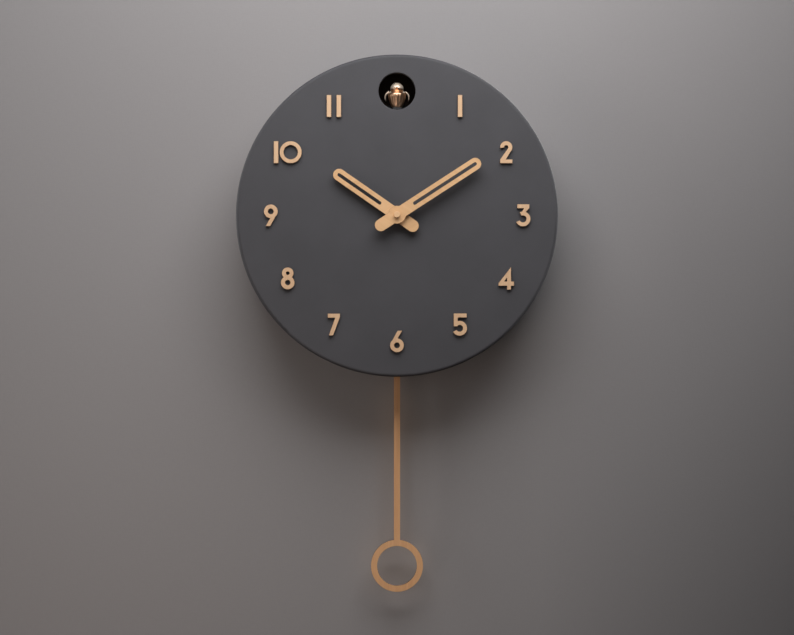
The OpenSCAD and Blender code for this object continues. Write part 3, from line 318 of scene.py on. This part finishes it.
def birch(name, light, dark, turn=0.0, toast=0.9):
    """Clear coated birch plywood with laser-burnt sides. turn lays its grain, in degrees from upright."""
    material, tree, shader = surface(name, Specular_IOR_Level=0.42)
    soft = use(tree, soft_edges, {"Radius": 0.00042})
    face = use(tree, birch_grain, {"Turn": math.radians(turn), "Light": light, "Dark": dark})
    side = use(tree, burnt_side, {"Ply": ply_t})
    browned = sums(tree, "MULTIPLY", soft.outputs["Edge"], toast)
    toasted = mix(tree, browned, face.outputs["Color"], (0.16, 0.065, 0.028, 1))
    colour = mix(tree, side.outputs["Side"], toasted, side.outputs["Color"])
    tree.links.new(colour, shader.inputs["Base Color"])
    dulled = sums(tree, "MULTIPLY", side.outputs["Side"], 0.25)
    tree.links.new(sums(tree, "ADD", face.outputs["Gloss"], dulled), shader.inputs["Roughness"])
    raised = put(tree, "Bump", {"Height": face.outputs["Height"], "Strength": 0.25, "Distance": 0.00004,
                                "Normal": soft.outputs["Normal"]})
    tree.links.new(raised.outputs[0], shader.inputs["Normal"])
    return material


numeral_birch = birch("numeral_birch", (0.88, 0.60, 0.365, 1), (0.74, 0.47, 0.27, 1))
dress(numeral_birch, *["numeral_%02d" % hour for hour in range(1, 12)])

# ---------- Hands ----------
# Two slotted plywood hands with round ends, the minute hand in front, pressed on the movement's arbors.
# A small turned button covers the arbor's end.

hand_light, hand_dark = (0.92, 0.585, 0.305, 1), (0.76, 0.445, 0.21, 1)
dress(birch("hour_birch", hand_light, hand_dark, turn=-55.25), "hour_hand")
dress(birch("minute_birch", hand_light, hand_dark, turn=57), "minute_hand")
dress(moulded("cap_lacquer", (0.88, 0.56, 0.30, 1), (0.92, 0.62, 0.38, 1), 0.45, edge=0.0006,
              Specular_IOR_Level=0.5), "hand_cap")

# ---------- Pendulum ----------
# Rod and ring are cut in one piece from the same plywood, with the grain along the rod.
# It hangs by a small hole on the peg of the lever inside the drum.

dress(birch("pendulum_birch", (0.90, 0.525, 0.265, 1), (0.74, 0.39, 0.18, 1), toast=0.6), "pendulum")

# ---------- Moulded plastics ----------
# The movement, the pendulum drive, the bird's box and the battery tray are black mouldings with a fine spark
# grain. The knob, lever and switch are ivory, and all the wheels are white nylon.

dress(moulded("black_moulding", (0.020, 0.020, 0.0215, 1), (0.055, 0.055, 0.058, 1), 0.52, scale=1400.0,
              Specular_IOR_Level=0.45),
      "movement_case", "movement_cover", "pendulum_case", "bird_carriage", "battery_tray", "battery_door",
      "cell_door")
dress(moulded("box_black", (0.085, 0.060, 0.048, 1), (0.10, 0.075, 0.06, 1), 0.85, Specular_IOR_Level=0.12),
      "bird_box")
dress(moulded("ivory_moulding", (0.70, 0.655, 0.54, 1), (0.78, 0.74, 0.64, 1), 0.42, Specular_IOR_Level=0.5),
      "setting_knob", "pendulum_hanger", "volume_switch")
dress(moulded("white_nylon", (0.76, 0.735, 0.66, 1), (0.84, 0.82, 0.76, 1), 0.48, scale=600.0, edge=0.00015,
              Specular_IOR_Level=0.5, Subsurface_Weight=0.1, Subsurface_Scale=0.001),
      "hour_wheel", "minute_arbor", "reduction_arbor", "third_wheel", "seconds_wheel", "intermediate_wheel",
      "drive_gear")
dress(moulded("gasket_rubber", (0.022, 0.022, 0.022, 1), (0.05, 0.05, 0.05, 1), 0.8, scale=1200.0),
      "movement_gasket")
dress(moulded("sintered_magnet", (0.105, 0.105, 0.115, 1), (0.2, 0.2, 0.21, 1), 0.45, scale=2000.0,
              Metallic=0.7), "rotor")

# ---------- Metal parts ----------
# Zinc plated pressings and bright pins, a brass nut and pinion, and cells in plain foil jackets.
# The plating is brushed along one way, with faint yellowing and scuffed edges.


def plated(name, colour, shadow, roughness, stretch=(40, 40, 900), edge=0.0003):
    """Brushed or drawn metal, uneven in tone and gloss."""
    material, tree, shader = surface(name, Metallic=1.0)
    soft = use(tree, soft_edges, {"Radius": edge})
    drawn = blotches(tree, 3.0, 3, stretch)
    cloud = blotches(tree, 60.0, 4)
    tinted = mix(tree, spread(tree, cloud, 0.35, 0.68, 0.0, 1.0), colour, shadow)
    bright = tuple(min(1.0, 1.15 * part) for part in colour[:3]) + (1,)
    scuffed = sums(tree, "MULTIPLY", soft.outputs["Edge"], 0.6)
    tree.links.new(mix(tree, scuffed, tinted, bright), shader.inputs["Base Color"])
    tree.links.new(spread(tree, sums(tree, "ADD", drawn, cloud), 0.7, 1.3, roughness - 0.08, roughness + 0.1),
                   shader.inputs["Roughness"])
    raised = put(tree, "Bump", {"Height": drawn, "Strength": 0.3, "Distance": 0.00002,
                                "Normal": soft.outputs["Normal"]})
    tree.links.new(raised.outputs[0], shader.inputs["Normal"])
    return material


zinc = plated("zinc_plate", (0.62, 0.62, 0.61, 1), (0.50, 0.49, 0.46, 1), 0.34)
dress(zinc, "hanger_plate", "stator", "movement_contacts", "guide_rods", "box_screws", "tray_contacts",
      "pendulum_magnet")
dress(plated("motor_can", (0.56, 0.56, 0.57, 1), (0.45, 0.45, 0.45, 1), 0.28, stretch=(900, 40, 40)),
      "drive_motor")
dress(plated("brass", (0.80, 0.58, 0.26, 1), (0.62, 0.42, 0.18, 1), 0.28), "fixing_nut", "motor_pinion")
dress(moulded("foil_jacket", (0.155, 0.20, 0.25, 1), (0.4, 0.42, 0.45, 1), 0.26, scale=300.0, Metallic=0.35,
              Coat_Weight=0.5, Coat_Roughness=0.1), "movement_cell", "tray_cells")

# ---------- Bird ----------
# A small moulded bird, vacuum plated in rose gold: a round chest with feather flutes, a smooth round head,
# a short beak, bead eyes, and a saddle behind that holds the wings' pins.

# The head's top and the wings take a paler gold, a painted highlight in place of their bright reflections.
rose_gold, tree, shader = surface("rose_gold", Metallic=1.0, Coat_Weight=0.25, Coat_Roughness=0.12)
soft = use(tree, soft_edges, {"Radius": 0.0002})
haze = blotches(tree, 120.0, 4)
hazed = spread(tree, haze, 0.35, 0.7, 0.0, 1.0)
tree.links.new(mix(tree, hazed, (0.98, 0.66, 0.43, 1), (0.86, 0.52, 0.31, 1)), shader.inputs["Base Color"])
tree.links.new(spread(tree, haze, 0.3, 0.7, 0.27, 0.37), shader.inputs["Roughness"])
dimple = put(tree, "Bump", {"Height": blotches(tree, 700.0, 2), "Strength": 0.15, "Distance": 0.00003,
                            "Normal": soft.outputs["Normal"]})
tree.links.new(dimple.outputs[0], shader.inputs["Normal"])

# Painted highlight: a paler, creamier gold that stands in for the bright reflections on the head's top and
# the wings.
painted_highlight_gold, tree, shader = surface("painted_highlight_gold", Metallic=0.55, Coat_Weight=0.4, Coat_Roughness=0.15)
soft = use(tree, soft_edges, {"Radius": 0.0002})
haze = blotches(tree, 150.0, 4)
hazed = spread(tree, haze, 0.35, 0.7, 0.0, 1.0)
tree.links.new(mix(tree, hazed, (1.0, 0.89, 0.73, 1), (0.98, 0.79, 0.60, 1)), shader.inputs["Base Color"])
tree.links.new(spread(tree, haze, 0.3, 0.7, 0.40, 0.52), shader.inputs["Roughness"])
tree.links.new(soft.outputs["Normal"], shader.inputs["Normal"])


def smooth_through(points, steps):
    """A smooth run through the points of a profile."""
    run = []
    for i in range(len(points) - 1):
        four = [Vector(points[max(0, min(len(points) - 1, i + k))]) for k in (-1, 0, 1, 2)]
        for step in range(steps):
            t = step / steps
            run.append(0.5 * (2 * four[1] + (four[2] - four[0]) * t
                              + (2 * four[0] - 5 * four[1] + 4 * four[2] - four[3]) * t * t
                              + (3 * four[1] - four[0] - 3 * four[2] + four[3]) * t ** 3))
    return run + [Vector(points[-1])]


def around(count):
    """The angles of an even run round a circle."""
    return [2 * math.pi * i / count for i in range(count)]


def skin(rings, close_ends=True):
    """A closed mesh over rings of points, with its faces pointing out."""
    shape = bmesh.new()
    made = [[shape.verts.new(point) for point in ring] for ring in rings]
    for low, high in zip(made, made[1:]):
        for i in range(len(low)):
            j = (i + 1) % len(low)
            shape.faces.new((low[i], low[j], high[j], high[i]))
    if close_ends:
        shape.faces.new(list(reversed(made[0])))
        shape.faces.new(made[-1])
    return shape


def smooth_mesh(shape, name, crease):
    """Turns a shape into a smooth shaded mesh, with edges sharp above an angle in degrees."""
    bmesh.ops.remove_doubles(shape, verts=shape.verts, dist=1e-6)
    bmesh.ops.recalc_face_normals(shape, faces=shape.faces)
    mesh = bpy.data.meshes.new(name)
    shape.to_mesh(mesh)
    shape.free()
    mesh.shade_smooth()
    mesh.set_sharp_from_angle(angle=math.radians(crease))
    return mesh


def mounted(name, mesh, body, stands_for=()):
    """A piece that rides on its body, and takes the place of plainer ones."""
    piece = placed(name, mesh)
    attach(piece, body)
    if stands_for:
        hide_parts(*stands_for)
    return piece


def finish_piece(shape, name, material, body, stands_for=()):
    """Turns a shape into a finished piece on its body."""
    mesh = smooth_mesh(shape, name, crease=38)
    mesh.materials.append(material)
    return mounted(name, mesh, body, stands_for)


def ball(shape, centre, size, rounds=24, bands=14):
    """Adds an egg shape."""
    bmesh.ops.create_uvsphere(shape, u_segments=rounds, v_segments=bands, radius=1.0,
                              matrix=Matrix.Translation(centre) @ Matrix.Diagonal((*size, 1)))


def turned_bar(shape, start, end, start_r, end_r, rounds=24):
    """Adds a closed cone or rod between two points."""
    along = Vector(end) - Vector(start)
    facing = along.to_track_quat("Z", "Y").to_matrix().to_4x4()
    middle = Matrix.Translation((Vector(start) + Vector(end)) / 2)
    bmesh.ops.create_cone(shape, cap_ends=True, segments=rounds, radius1=start_r, radius2=end_r,
                          depth=along.length, matrix=middle @ facing)


def join(shape, other):
    """Adds another shape to the first one."""
    part = bpy.data.meshes.new("joined_part")
    other.to_mesh(part)
    other.free()
    shape.from_mesh(part)
    bpy.data.meshes.remove(part)


bird_low, bird_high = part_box("bird_body")
beak_reach = 9.65 * mm
foot_drop = 14.5 * mm
bird_at = Vector((0, bird_low.y + beak_reach, bird_low.z + foot_drop))
# Profiles here and below are (radius, height or depth) in millimetres.
bird_profile = [(0.2, -14.5), (3.2, -14.45), (4.3, -14.1), (5.0, -13.4), (5.7, -12.0), (6.9, -9.2),
                (7.8, -6.2), (8.35, -3.8), (8.3, -2.0), (7.8, -1.2), (6.7, -0.7), (5.6, -0.4),
                (4.95, 0.0), (5.2, 0.8), (5.85, 1.8), (6.22, 2.9), (6.15, 4.4), (5.7, 5.7),
                (4.7, 7.1), (3.0, 8.5), (1.4, 9.1), (0.25, 9.25)]
flutes = 14
flute_depth = 0.07
flutes_foot, flutes_h = -13.5, 12.3
rings = []
for r, z in smooth_through(bird_profile, 4):
    fluted = max(0.0, math.sin(math.pi * min(1.0, max(0.0, (z - flutes_foot) / flutes_h))))
    ring = []
    for a in around(8 * flutes):
        cut = 1 - flute_depth * fluted * (0.5 - 0.5 * math.cos(flutes * a)) ** 2
        ring.append(bird_at + Vector((r * cut * math.sin(a), r * cut * math.cos(a), z)) * mm)
    rings.append(ring)
bird = skin(rings)
beak_root, beak_tip = Vector((0, -5.2, 3.5)), Vector((0, -9.5, 3.0))
beak_root_r, beak_tip_r = 1.55 * mm, 0.25 * mm
turned_bar(bird, bird_at + beak_root * mm, bird_at + beak_tip * mm, beak_root_r, beak_tip_r)

saddle_profile = [(0.2, 3.6), (4.6, 3.9), (5.7, 5.2), (5.75, 7.0), (5.4, 8.2), (0.2, 8.45)]
saddle_drop, saddle_flatness, saddle_squareness = -1.7, 0.74, 0.10
rings = []
for w, y in smooth_through(saddle_profile, 3):
    ring = []
    for a in around(40):
        square = 1 + saddle_squareness * math.cos(4 * a)
        ring.append(bird_at + Vector((w * math.cos(a) * square, y,
                                      saddle_drop + saddle_flatness * w * math.sin(a) * square)) * mm)
    rings.append(ring)
join(bird, skin(rings))
pin_x, pin_z, pin_r = 5.0 * mm, bird_at.z + 0.5 * mm, 0.8 * mm
pin_root_y, pin_taper = bird_at.y + 8.2 * mm, 0.94
for side in (-1, 1):
    pin_root, pin_end = (side * pin_x, pin_root_y, pin_z), (side * pin_x, bird_high.y, pin_z)
    turned_bar(bird, pin_root, pin_end, pin_r, pin_r * pin_taper)
bird_piece = finish_piece(bird, "bird", rose_gold, "bird_work", ["bird_body"])
bird_piece.data.materials.append(painted_highlight_gold)
# Painted highlight: faces on the head's top, above a plane tilted back, take the paler gold, as if lit from
# above.
lit_top_z, lit_top_tilt, lit_top_front = bird_at.z + 4.1 * mm, 0.35, 6.2 * mm
for face in bird_piece.data.polygons:
    if face.center.z + lit_top_tilt * (face.center.y - bird_at.y + lit_top_front) > lit_top_z:
        face.material_index = 1

bead, tree, shader = surface("bead_eye", Roughness=0.12, Specular_IOR_Level=0.6, Coat_Weight=0.6)
tree.links.new(mix(tree, blotches(tree, 900), (0.012, 0.010, 0.009, 1), (0.03, 0.022, 0.018, 1)),
               shader.inputs["Base Color"])
eye_x, eye_y, eye_z, eye_r = 3.45, -4.6, 4.6, 0.62
eyes = bmesh.new()
for side in (-1, 1):
    ball(eyes, bird_at + Vector((side * eye_x, eye_y, eye_z)) * mm, (eye_r * mm,) * 3)
finish_piece(eyes, "bird_eyes", bead, "bird_work")

# ---------- Wings ----------
# Each wing is a thin plated shell in the paler gold of the painted highlight, curved round the bird's side
# and ribbed like feathers.
# Its hub turns on a pin behind the shoulder, and a cam flicks it out as the bird comes forward.

# The shell bends from one angle in degrees to the other, round a middle beside and below the bird's own.
wing_from, wing_to = 70, -25
wing_mid_r = 5.5
wing_out, wing_up = 5.6, -4.6
shell_least, shell_swell = 0.20, 0.55
front_lead, front_sweep = 0.02, 0.22
feathers, feather_h = 9, 0.09
hub_r, hub_t, bore_r = 2.6 * mm, 1.4 * mm, 0.85 * mm
along_steps, across_steps = 28, 14


def wing_ring(side, u, low, high):
    """One ring of a wing shell, at the share u of the way from its root to its tip."""
    a = math.radians(wing_from + (wing_to - wing_from) * u)
    thick = shell_least + shell_swell * math.sin(math.pi * (0.14 + 0.80 * u)) ** 0.8
    front = low.y + (high.y - low.y) * (front_lead + front_sweep * u ** 2.2)
    ring = []
    for face in (1, -1):
        for j in range(across_steps + 1):
            v = j / across_steps if face > 0 else 1 - j / across_steps
            rib = feather_h * math.sin(v * math.pi * feathers) * (1 if face > 0 else 0)
            rim = math.sin(math.pi * min(1, max(0, 0.06 + 0.94 * v))) ** 0.35
            r = wing_mid_r + face * thick * (0.25 + 0.75 * rim) + rib * rim
            ring.append(Vector((side * (wing_out + r * math.cos(a)) * mm, front + (high.y - front) * v,
                                bird_at.z + (wing_up + r * math.sin(a)) * mm)))
    return ring


for side, name in ((1, "right"), (-1, "left")):
    low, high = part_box("wing_" + name)
    wing = skin([wing_ring(side, i / along_steps, low, high) for i in range(along_steps + 1)])
    hub_y = high.y - hub_t
    hub = [(hub_r, hub_y), (hub_r, high.y), (bore_r, high.y), (bore_r, hub_y), (hub_r, hub_y)]
    join(wing, skin([[Vector((side * pin_x + r * math.cos(a), y, pin_z + r * math.sin(a)))
                      for a in around(40)] for r, y in hub], close_ends=False))
    finish_piece(wing, "wing_%s_shell" % name, painted_highlight_gold, "wing_%s_work" % name,
                 ["wing_" + name])

# ---------- Back board ----------
# Raw brown fibreboard, smooth but hairy with pressed fibres, let into a step at the back of the side wall.
# Softwood blocks glued inside the wall take its screws.

fibreboard, tree, shader = surface("fibreboard", Specular_IOR_Level=0.25)
soft = use(tree, soft_edges, {"Radius": 0.0003})
hairs = sums(tree, "ADD", blotches(tree, 60, 4, (1, 1, 9), (0, 0.6, 0)),
             blotches(tree, 60, 4, (9, 1, 1), (0, -0.4, 0)))
pressed = sums(tree, "ADD", sums(tree, "MULTIPLY", hairs, 0.5),
               sums(tree, "MULTIPLY", blotches(tree, 14), 0.5))
tone = spread(tree, pressed, 0.75, 1.25, 0.0, 1.0)
board_face = mix(tree, tone, (0.205, 0.140, 0.088, 1), (0.315, 0.228, 0.150, 1))
frayed = sums(tree, "MULTIPLY", soft.outputs["Edge"], 0.6)
tree.links.new(mix(tree, frayed, board_face, (0.36, 0.27, 0.18, 1)), shader.inputs["Base Color"])
tree.links.new(spread(tree, hairs, 0.7, 1.3, 0.66, 0.82), shader.inputs["Roughness"])
raised = put(tree, "Bump", {"Height": hairs, "Strength": 0.35, "Distance": 0.0001,
                            "Normal": soft.outputs["Normal"]})
tree.links.new(raised.outputs[0], shader.inputs["Normal"])
dress(fibreboard, "back_panel")
dress(birch("block_pine", (0.66, 0.47, 0.27, 1), (0.50, 0.32, 0.16, 1), toast=0.0), "screw_blocks")

# ---------- Back screws ----------
# Plated cross-head wood screws: six long ones hold the back board, and two short ones the hanger plate.
# Each is a domed head with a cross cut in it over a tapering threaded shank, driven in at its own angle.

head_t, shank_r = 1.5, 1.5
thread_pitch, thread_cut, rings_each_turn = 1.1, 0.20, 10
point_l, point_share = 4.0, 0.15
dome_profile = [(1.2, -1.45), (2.75, -1.45), (2.98, -1.15), (2.98, -0.75), (2.7, -0.35), (2.1, -0.12),
                (1.75, -0.05)]
cross_profile = [(1.0, -0.03), (1.0, -0.6), (0.55, -0.95)]
cross_root_r, cross_arm_l = 0.42, 1.18


def screw_rings(length):
    """Rings of one threaded shank, from its point up, along Y with the head's top at zero."""
    rings = []
    turns = length / thread_pitch
    for i in range(int(turns * rings_each_turn) + 1):
        t = i / (turns * rings_each_turn)
        taper = min(1.0, point_share + t * length / point_l)
        ring = []
        for a in around(16):
            thread = 1 - thread_cut + thread_cut * (0.5 + 0.5 * math.cos(a - t * turns * 2 * math.pi)) ** 3
            r = shank_r * taper * thread
            ring.append(Vector((r * math.cos(a), -head_t - length * (1 - t), r * math.sin(a))) * mm)
        rings.append(ring)
    return rings


def screw_mesh(name, length):
    """One screw: its shank, then its head's rings and the cross let into its top."""
    angles = around(48)
    head = [[Vector((r * math.cos(a), y, r * math.sin(a))) * mm for a in angles] for r, y in dome_profile]
    for share, y in cross_profile:
        ring = []
        for a in angles:
            r = (cross_root_r + cross_arm_l * max(0.0, math.cos(4 * a)) ** 0.7) * share
            ring.append(Vector((r * math.cos(a), y, r * math.sin(a))) * mm)
        head.append(ring)
    shape = skin(screw_rings(length))
    join(shape, skin(head))
    return smooth_mesh(shape, name, crease=35)


def geometry_tree(name, ways_in):
    """A Geometry Nodes tree with named inputs: the tree, its way in and its way out."""
    tree = bpy.data.node_groups.new(name, "GeometryNodeTree")
    for label, kind in [("Geometry", "Geometry")] + ways_in:
        tree.interface.new_socket(label, in_out="INPUT", socket_type="NodeSocket" + kind)
    tree.interface.new_socket("Geometry", in_out="OUTPUT", socket_type="NodeSocketGeometry")
    return tree, tree.nodes.new("NodeGroupInput").outputs, tree.nodes.new("NodeGroupOutput").inputs


def coated(tree, go, shape, material):
    """Ends a tree: the instances made real, and the material set."""
    solid = add(tree, "GeometryNodeRealizeInstances", {0: shape})
    coat = add(tree, "GeometryNodeSetMaterial", {"Geometry": solid.outputs[0], "Material": material})
    tree.links.new(coat.outputs[0], go[0])


def grown(name, start, tree, values):
    """Runs a tree on a mesh, with values for its named inputs, and gives one plain mesh."""
    holder = placed(name + "_holder", start)
    worker = holder.modifiers.new("grow", "NODES")
    worker.node_group = tree
    named = {item.name: item.identifier for item in tree.interface.items_tree if item.in_out == "INPUT"}
    for label, value in values.items():
        worker[named[label]] = value
    bpy.context.view_layer.update()
    mesh = bpy.data.meshes.new_from_object(holder.evaluated_get(bpy.context.evaluated_depsgraph_get()))
    mesh.name = name
    holder.modifiers.remove(worker)
    bpy.data.objects.remove(holder)
    return mesh


def set_out(name, part_mesh, points, material, seed):
    """One mesh with a part set out on every point, each turned a little at random."""
    tree, come, go = geometry_tree(name, [("Part", "Object"), ("Twist", "Float"), ("Seed", "Int")])
    part = add(tree, "GeometryNodeObjectInfo", {"Object": come["Part"]})
    turn = add(tree, "FunctionNodeRandomValue", {3: come["Twist"], "Seed": come["Seed"]})
    spin = put(tree, "CombineXYZ", {"Y": turn.outputs[1]})
    each = add(tree, "GeometryNodeInstanceOnPoints", {"Points": come["Geometry"], "Rotation": spin.outputs[0],
                                                      "Instance": part.outputs["Geometry"]})
    coated(tree, go, each.outputs[0], material)
    model = placed(name + "_part", part_mesh)
    spots = bpy.data.meshes.new(name + "_spots")
    spots.from_pydata(points, [], [])
    mesh = grown(name, spots, tree, {"Part": model, "Twist": math.tau, "Seed": seed})
    bpy.data.objects.remove(model)
    return mesh


board_screw_l, plate_screw_l = 12.3, 7.8
screw_ring_r, plate_inset = 137.0 * mm, 5 * mm
plate_low, plate_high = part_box("hanger_plate")
plate_z = (plate_low.z + plate_high.z) / 2
board_spots = [(screw_ring_r * math.cos(a), 0, screw_ring_r * math.sin(a)) for a in around(6)]
plate_spots = [(x, 0, plate_z) for x in (plate_low.x + plate_inset, plate_high.x - plate_inset)]
board_screws = set_out("back_screws", screw_mesh("back_screw", board_screw_l), board_spots, zinc, seed=3)
plate_screws = set_out("plate_screws", screw_mesh("plate_screw", plate_screw_l), plate_spots, zinc, seed=8)
mounted("back_screws", board_screws, "clock", ["wood_screws"])
mounted("plate_screws", plate_screws, "clock")

# ---------- Coils ----------
# Enamelled copper wire wound in even turns on the movement's core and on the pendulum drive's bobbin.
# Only the outer layer and the cheeks of each winding show.

copper, tree, shader = surface("enamelled_copper", Metallic=0.9, Coat_Weight=0.5, Coat_Roughness=0.15)
tree.links.new(mix(tree, blotches(tree, 90), (0.62, 0.22, 0.085, 1), (0.44, 0.13, 0.05, 1)),
               shader.inputs["Base Color"])
tree.links.new(spread(tree, blotches(tree, 300), 0.3, 0.7, 0.24, 0.38), shader.inputs["Roughness"])


wire_gap = 1.01


def winding(name, node, axis, wire_r):
    """A bobbin of wire wound over a core along X or Y, in the place of a plain coil."""
    low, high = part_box(node)
    way = Vector({"X": (1, 0, 0), "Y": (0, 1, 0)}[axis])
    length = way.dot(high - low) - 2 * wire_r
    outer = (high.z - low.z) / 2 - wire_r
    tree, come, go = geometry_tree(name, [("Turns", "Float"), ("Coil radius", "Float"), ("Length", "Float"),
                                          ("Wire radius", "Float")])
    helix = add(tree, "GeometryNodeCurveSpiral", {"Resolution": 22, "Rotations": come["Turns"],
                                                  "Start Radius": come["Coil radius"],
                                                  "End Radius": come["Coil radius"],
                                                  "Height": come["Length"]})
    wire = add(tree, "GeometryNodeCurvePrimitiveCircle", {"Resolution": 8, "Radius": come["Wire radius"]})
    wound = add(tree, "GeometryNodeCurveToMesh", {"Curve": helix.outputs[0], "Profile Curve": wire.outputs[0],
                                                  "Fill Caps": True})
    core = add(tree, "GeometryNodeMeshCylinder", {"Vertices": 48, "Radius": come["Coil radius"],
                                                  "Depth": come["Length"]})
    half = put(tree, "Math", {0: come["Length"], 1: 0.5}, operation="MULTIPLY")
    lift = put(tree, "CombineXYZ", {"Z": half.outputs[0]})
    core_up = add(tree, "GeometryNodeTransform", {"Geometry": core.outputs["Mesh"],
                                                  "Translation": lift.outputs[0]})
    both = tree.nodes.new("GeometryNodeJoinGeometry")
    tree.links.new(wound.outputs[0], both.inputs[0])
    tree.links.new(core_up.outputs[0], both.inputs[0])
    coated(tree, go, both.outputs[0], copper)
    turns = math.floor(length / (2 * wire_gap * wire_r))
    mesh = grown(name, bpy.data.meshes.new(name + "_start"), tree,
                 {"Turns": float(turns), "Coil radius": outer, "Length": length, "Wire radius": wire_r})
    quarter = {"X": Matrix.Rotation(math.pi / 2, 4, "Y"), "Y": Matrix.Rotation(-math.pi / 2, 4, "X")}[axis]
    mesh.transform(Matrix.Translation((low + high) / 2 - way * length / 2) @ quarter)
    mounted(name, mesh, "clock", [node])


winding("movement_winding", "movement_coil", "X", 0.09 * mm)
winding("pendulum_winding", "pendulum_coil", "Y", 0.16 * mm)

# ---------- Sound unit ----------
# A green circuit board on posts, and a loudspeaker of black pressed steel with a doped paper cone.
# The speaker faces the rings of holes in the back board.

board, tree, shader = surface("green_board", Roughness=0.34, Specular_IOR_Level=0.5, Coat_Weight=0.4)
laid = put(tree, "Mapping", {"Vector": put(tree, "TexCoord").outputs["Object"],
                             "Rotation": (math.radians(90), 0, 0)}).outputs[0]
tracks = put(tree, "TexBrick", {"Vector": laid, "Scale": 160.0, "Mortar Size": 0.03,
                                "Color1": (0.012, 0.105, 0.050, 1), "Color2": (0.016, 0.130, 0.062, 1),
                                "Mortar": (0.030, 0.190, 0.095, 1)})
cloud = spread(tree, blotches(tree, 40), 0.35, 0.65, 0.0, 0.5)
tree.links.new(mix(tree, cloud, tracks.outputs[0], (0.010, 0.085, 0.042, 1)), shader.inputs["Base Color"])
dress(board, "movement_board", "sound_board")

paper_cone = moulded("speaker_black", (0.016, 0.016, 0.017, 1), (0.05, 0.05, 0.052, 1), 0.7, scale=1500.0)
low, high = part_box("speaker")
mid = (low + high) / 2
speaker_profile = [(0.05, -20.0), (12.5, -20.0), (14.0, -19.6), (14.0, -12.2), (15.0, -11.6), (19.0, -8.6),
                   (24.4, -3.0), (25.2, -2.1), (28.0, -2.0), (28.4, -1.8), (28.4, -0.2), (28.0, 0.0),
                   (25.6, 0.0), (25.0, -0.5), (23.8, -1.0), (22.6, -0.6), (21.8, -1.4), (14.0, -6.0),
                   (7.6, -9.6), (7.2, -8.6), (5.0, -7.0), (2.5, -6.3), (0.05, -6.1)]
rings = [[Vector((mid.x + r * mm * math.cos(a), high.y + y * mm, mid.z + r * mm * math.sin(a)))
          for a in around(64)] for r, y in speaker_profile]
finish_piece(skin(rings), "speaker_cone_and_frame", paper_cone, "clock", ["speaker"])
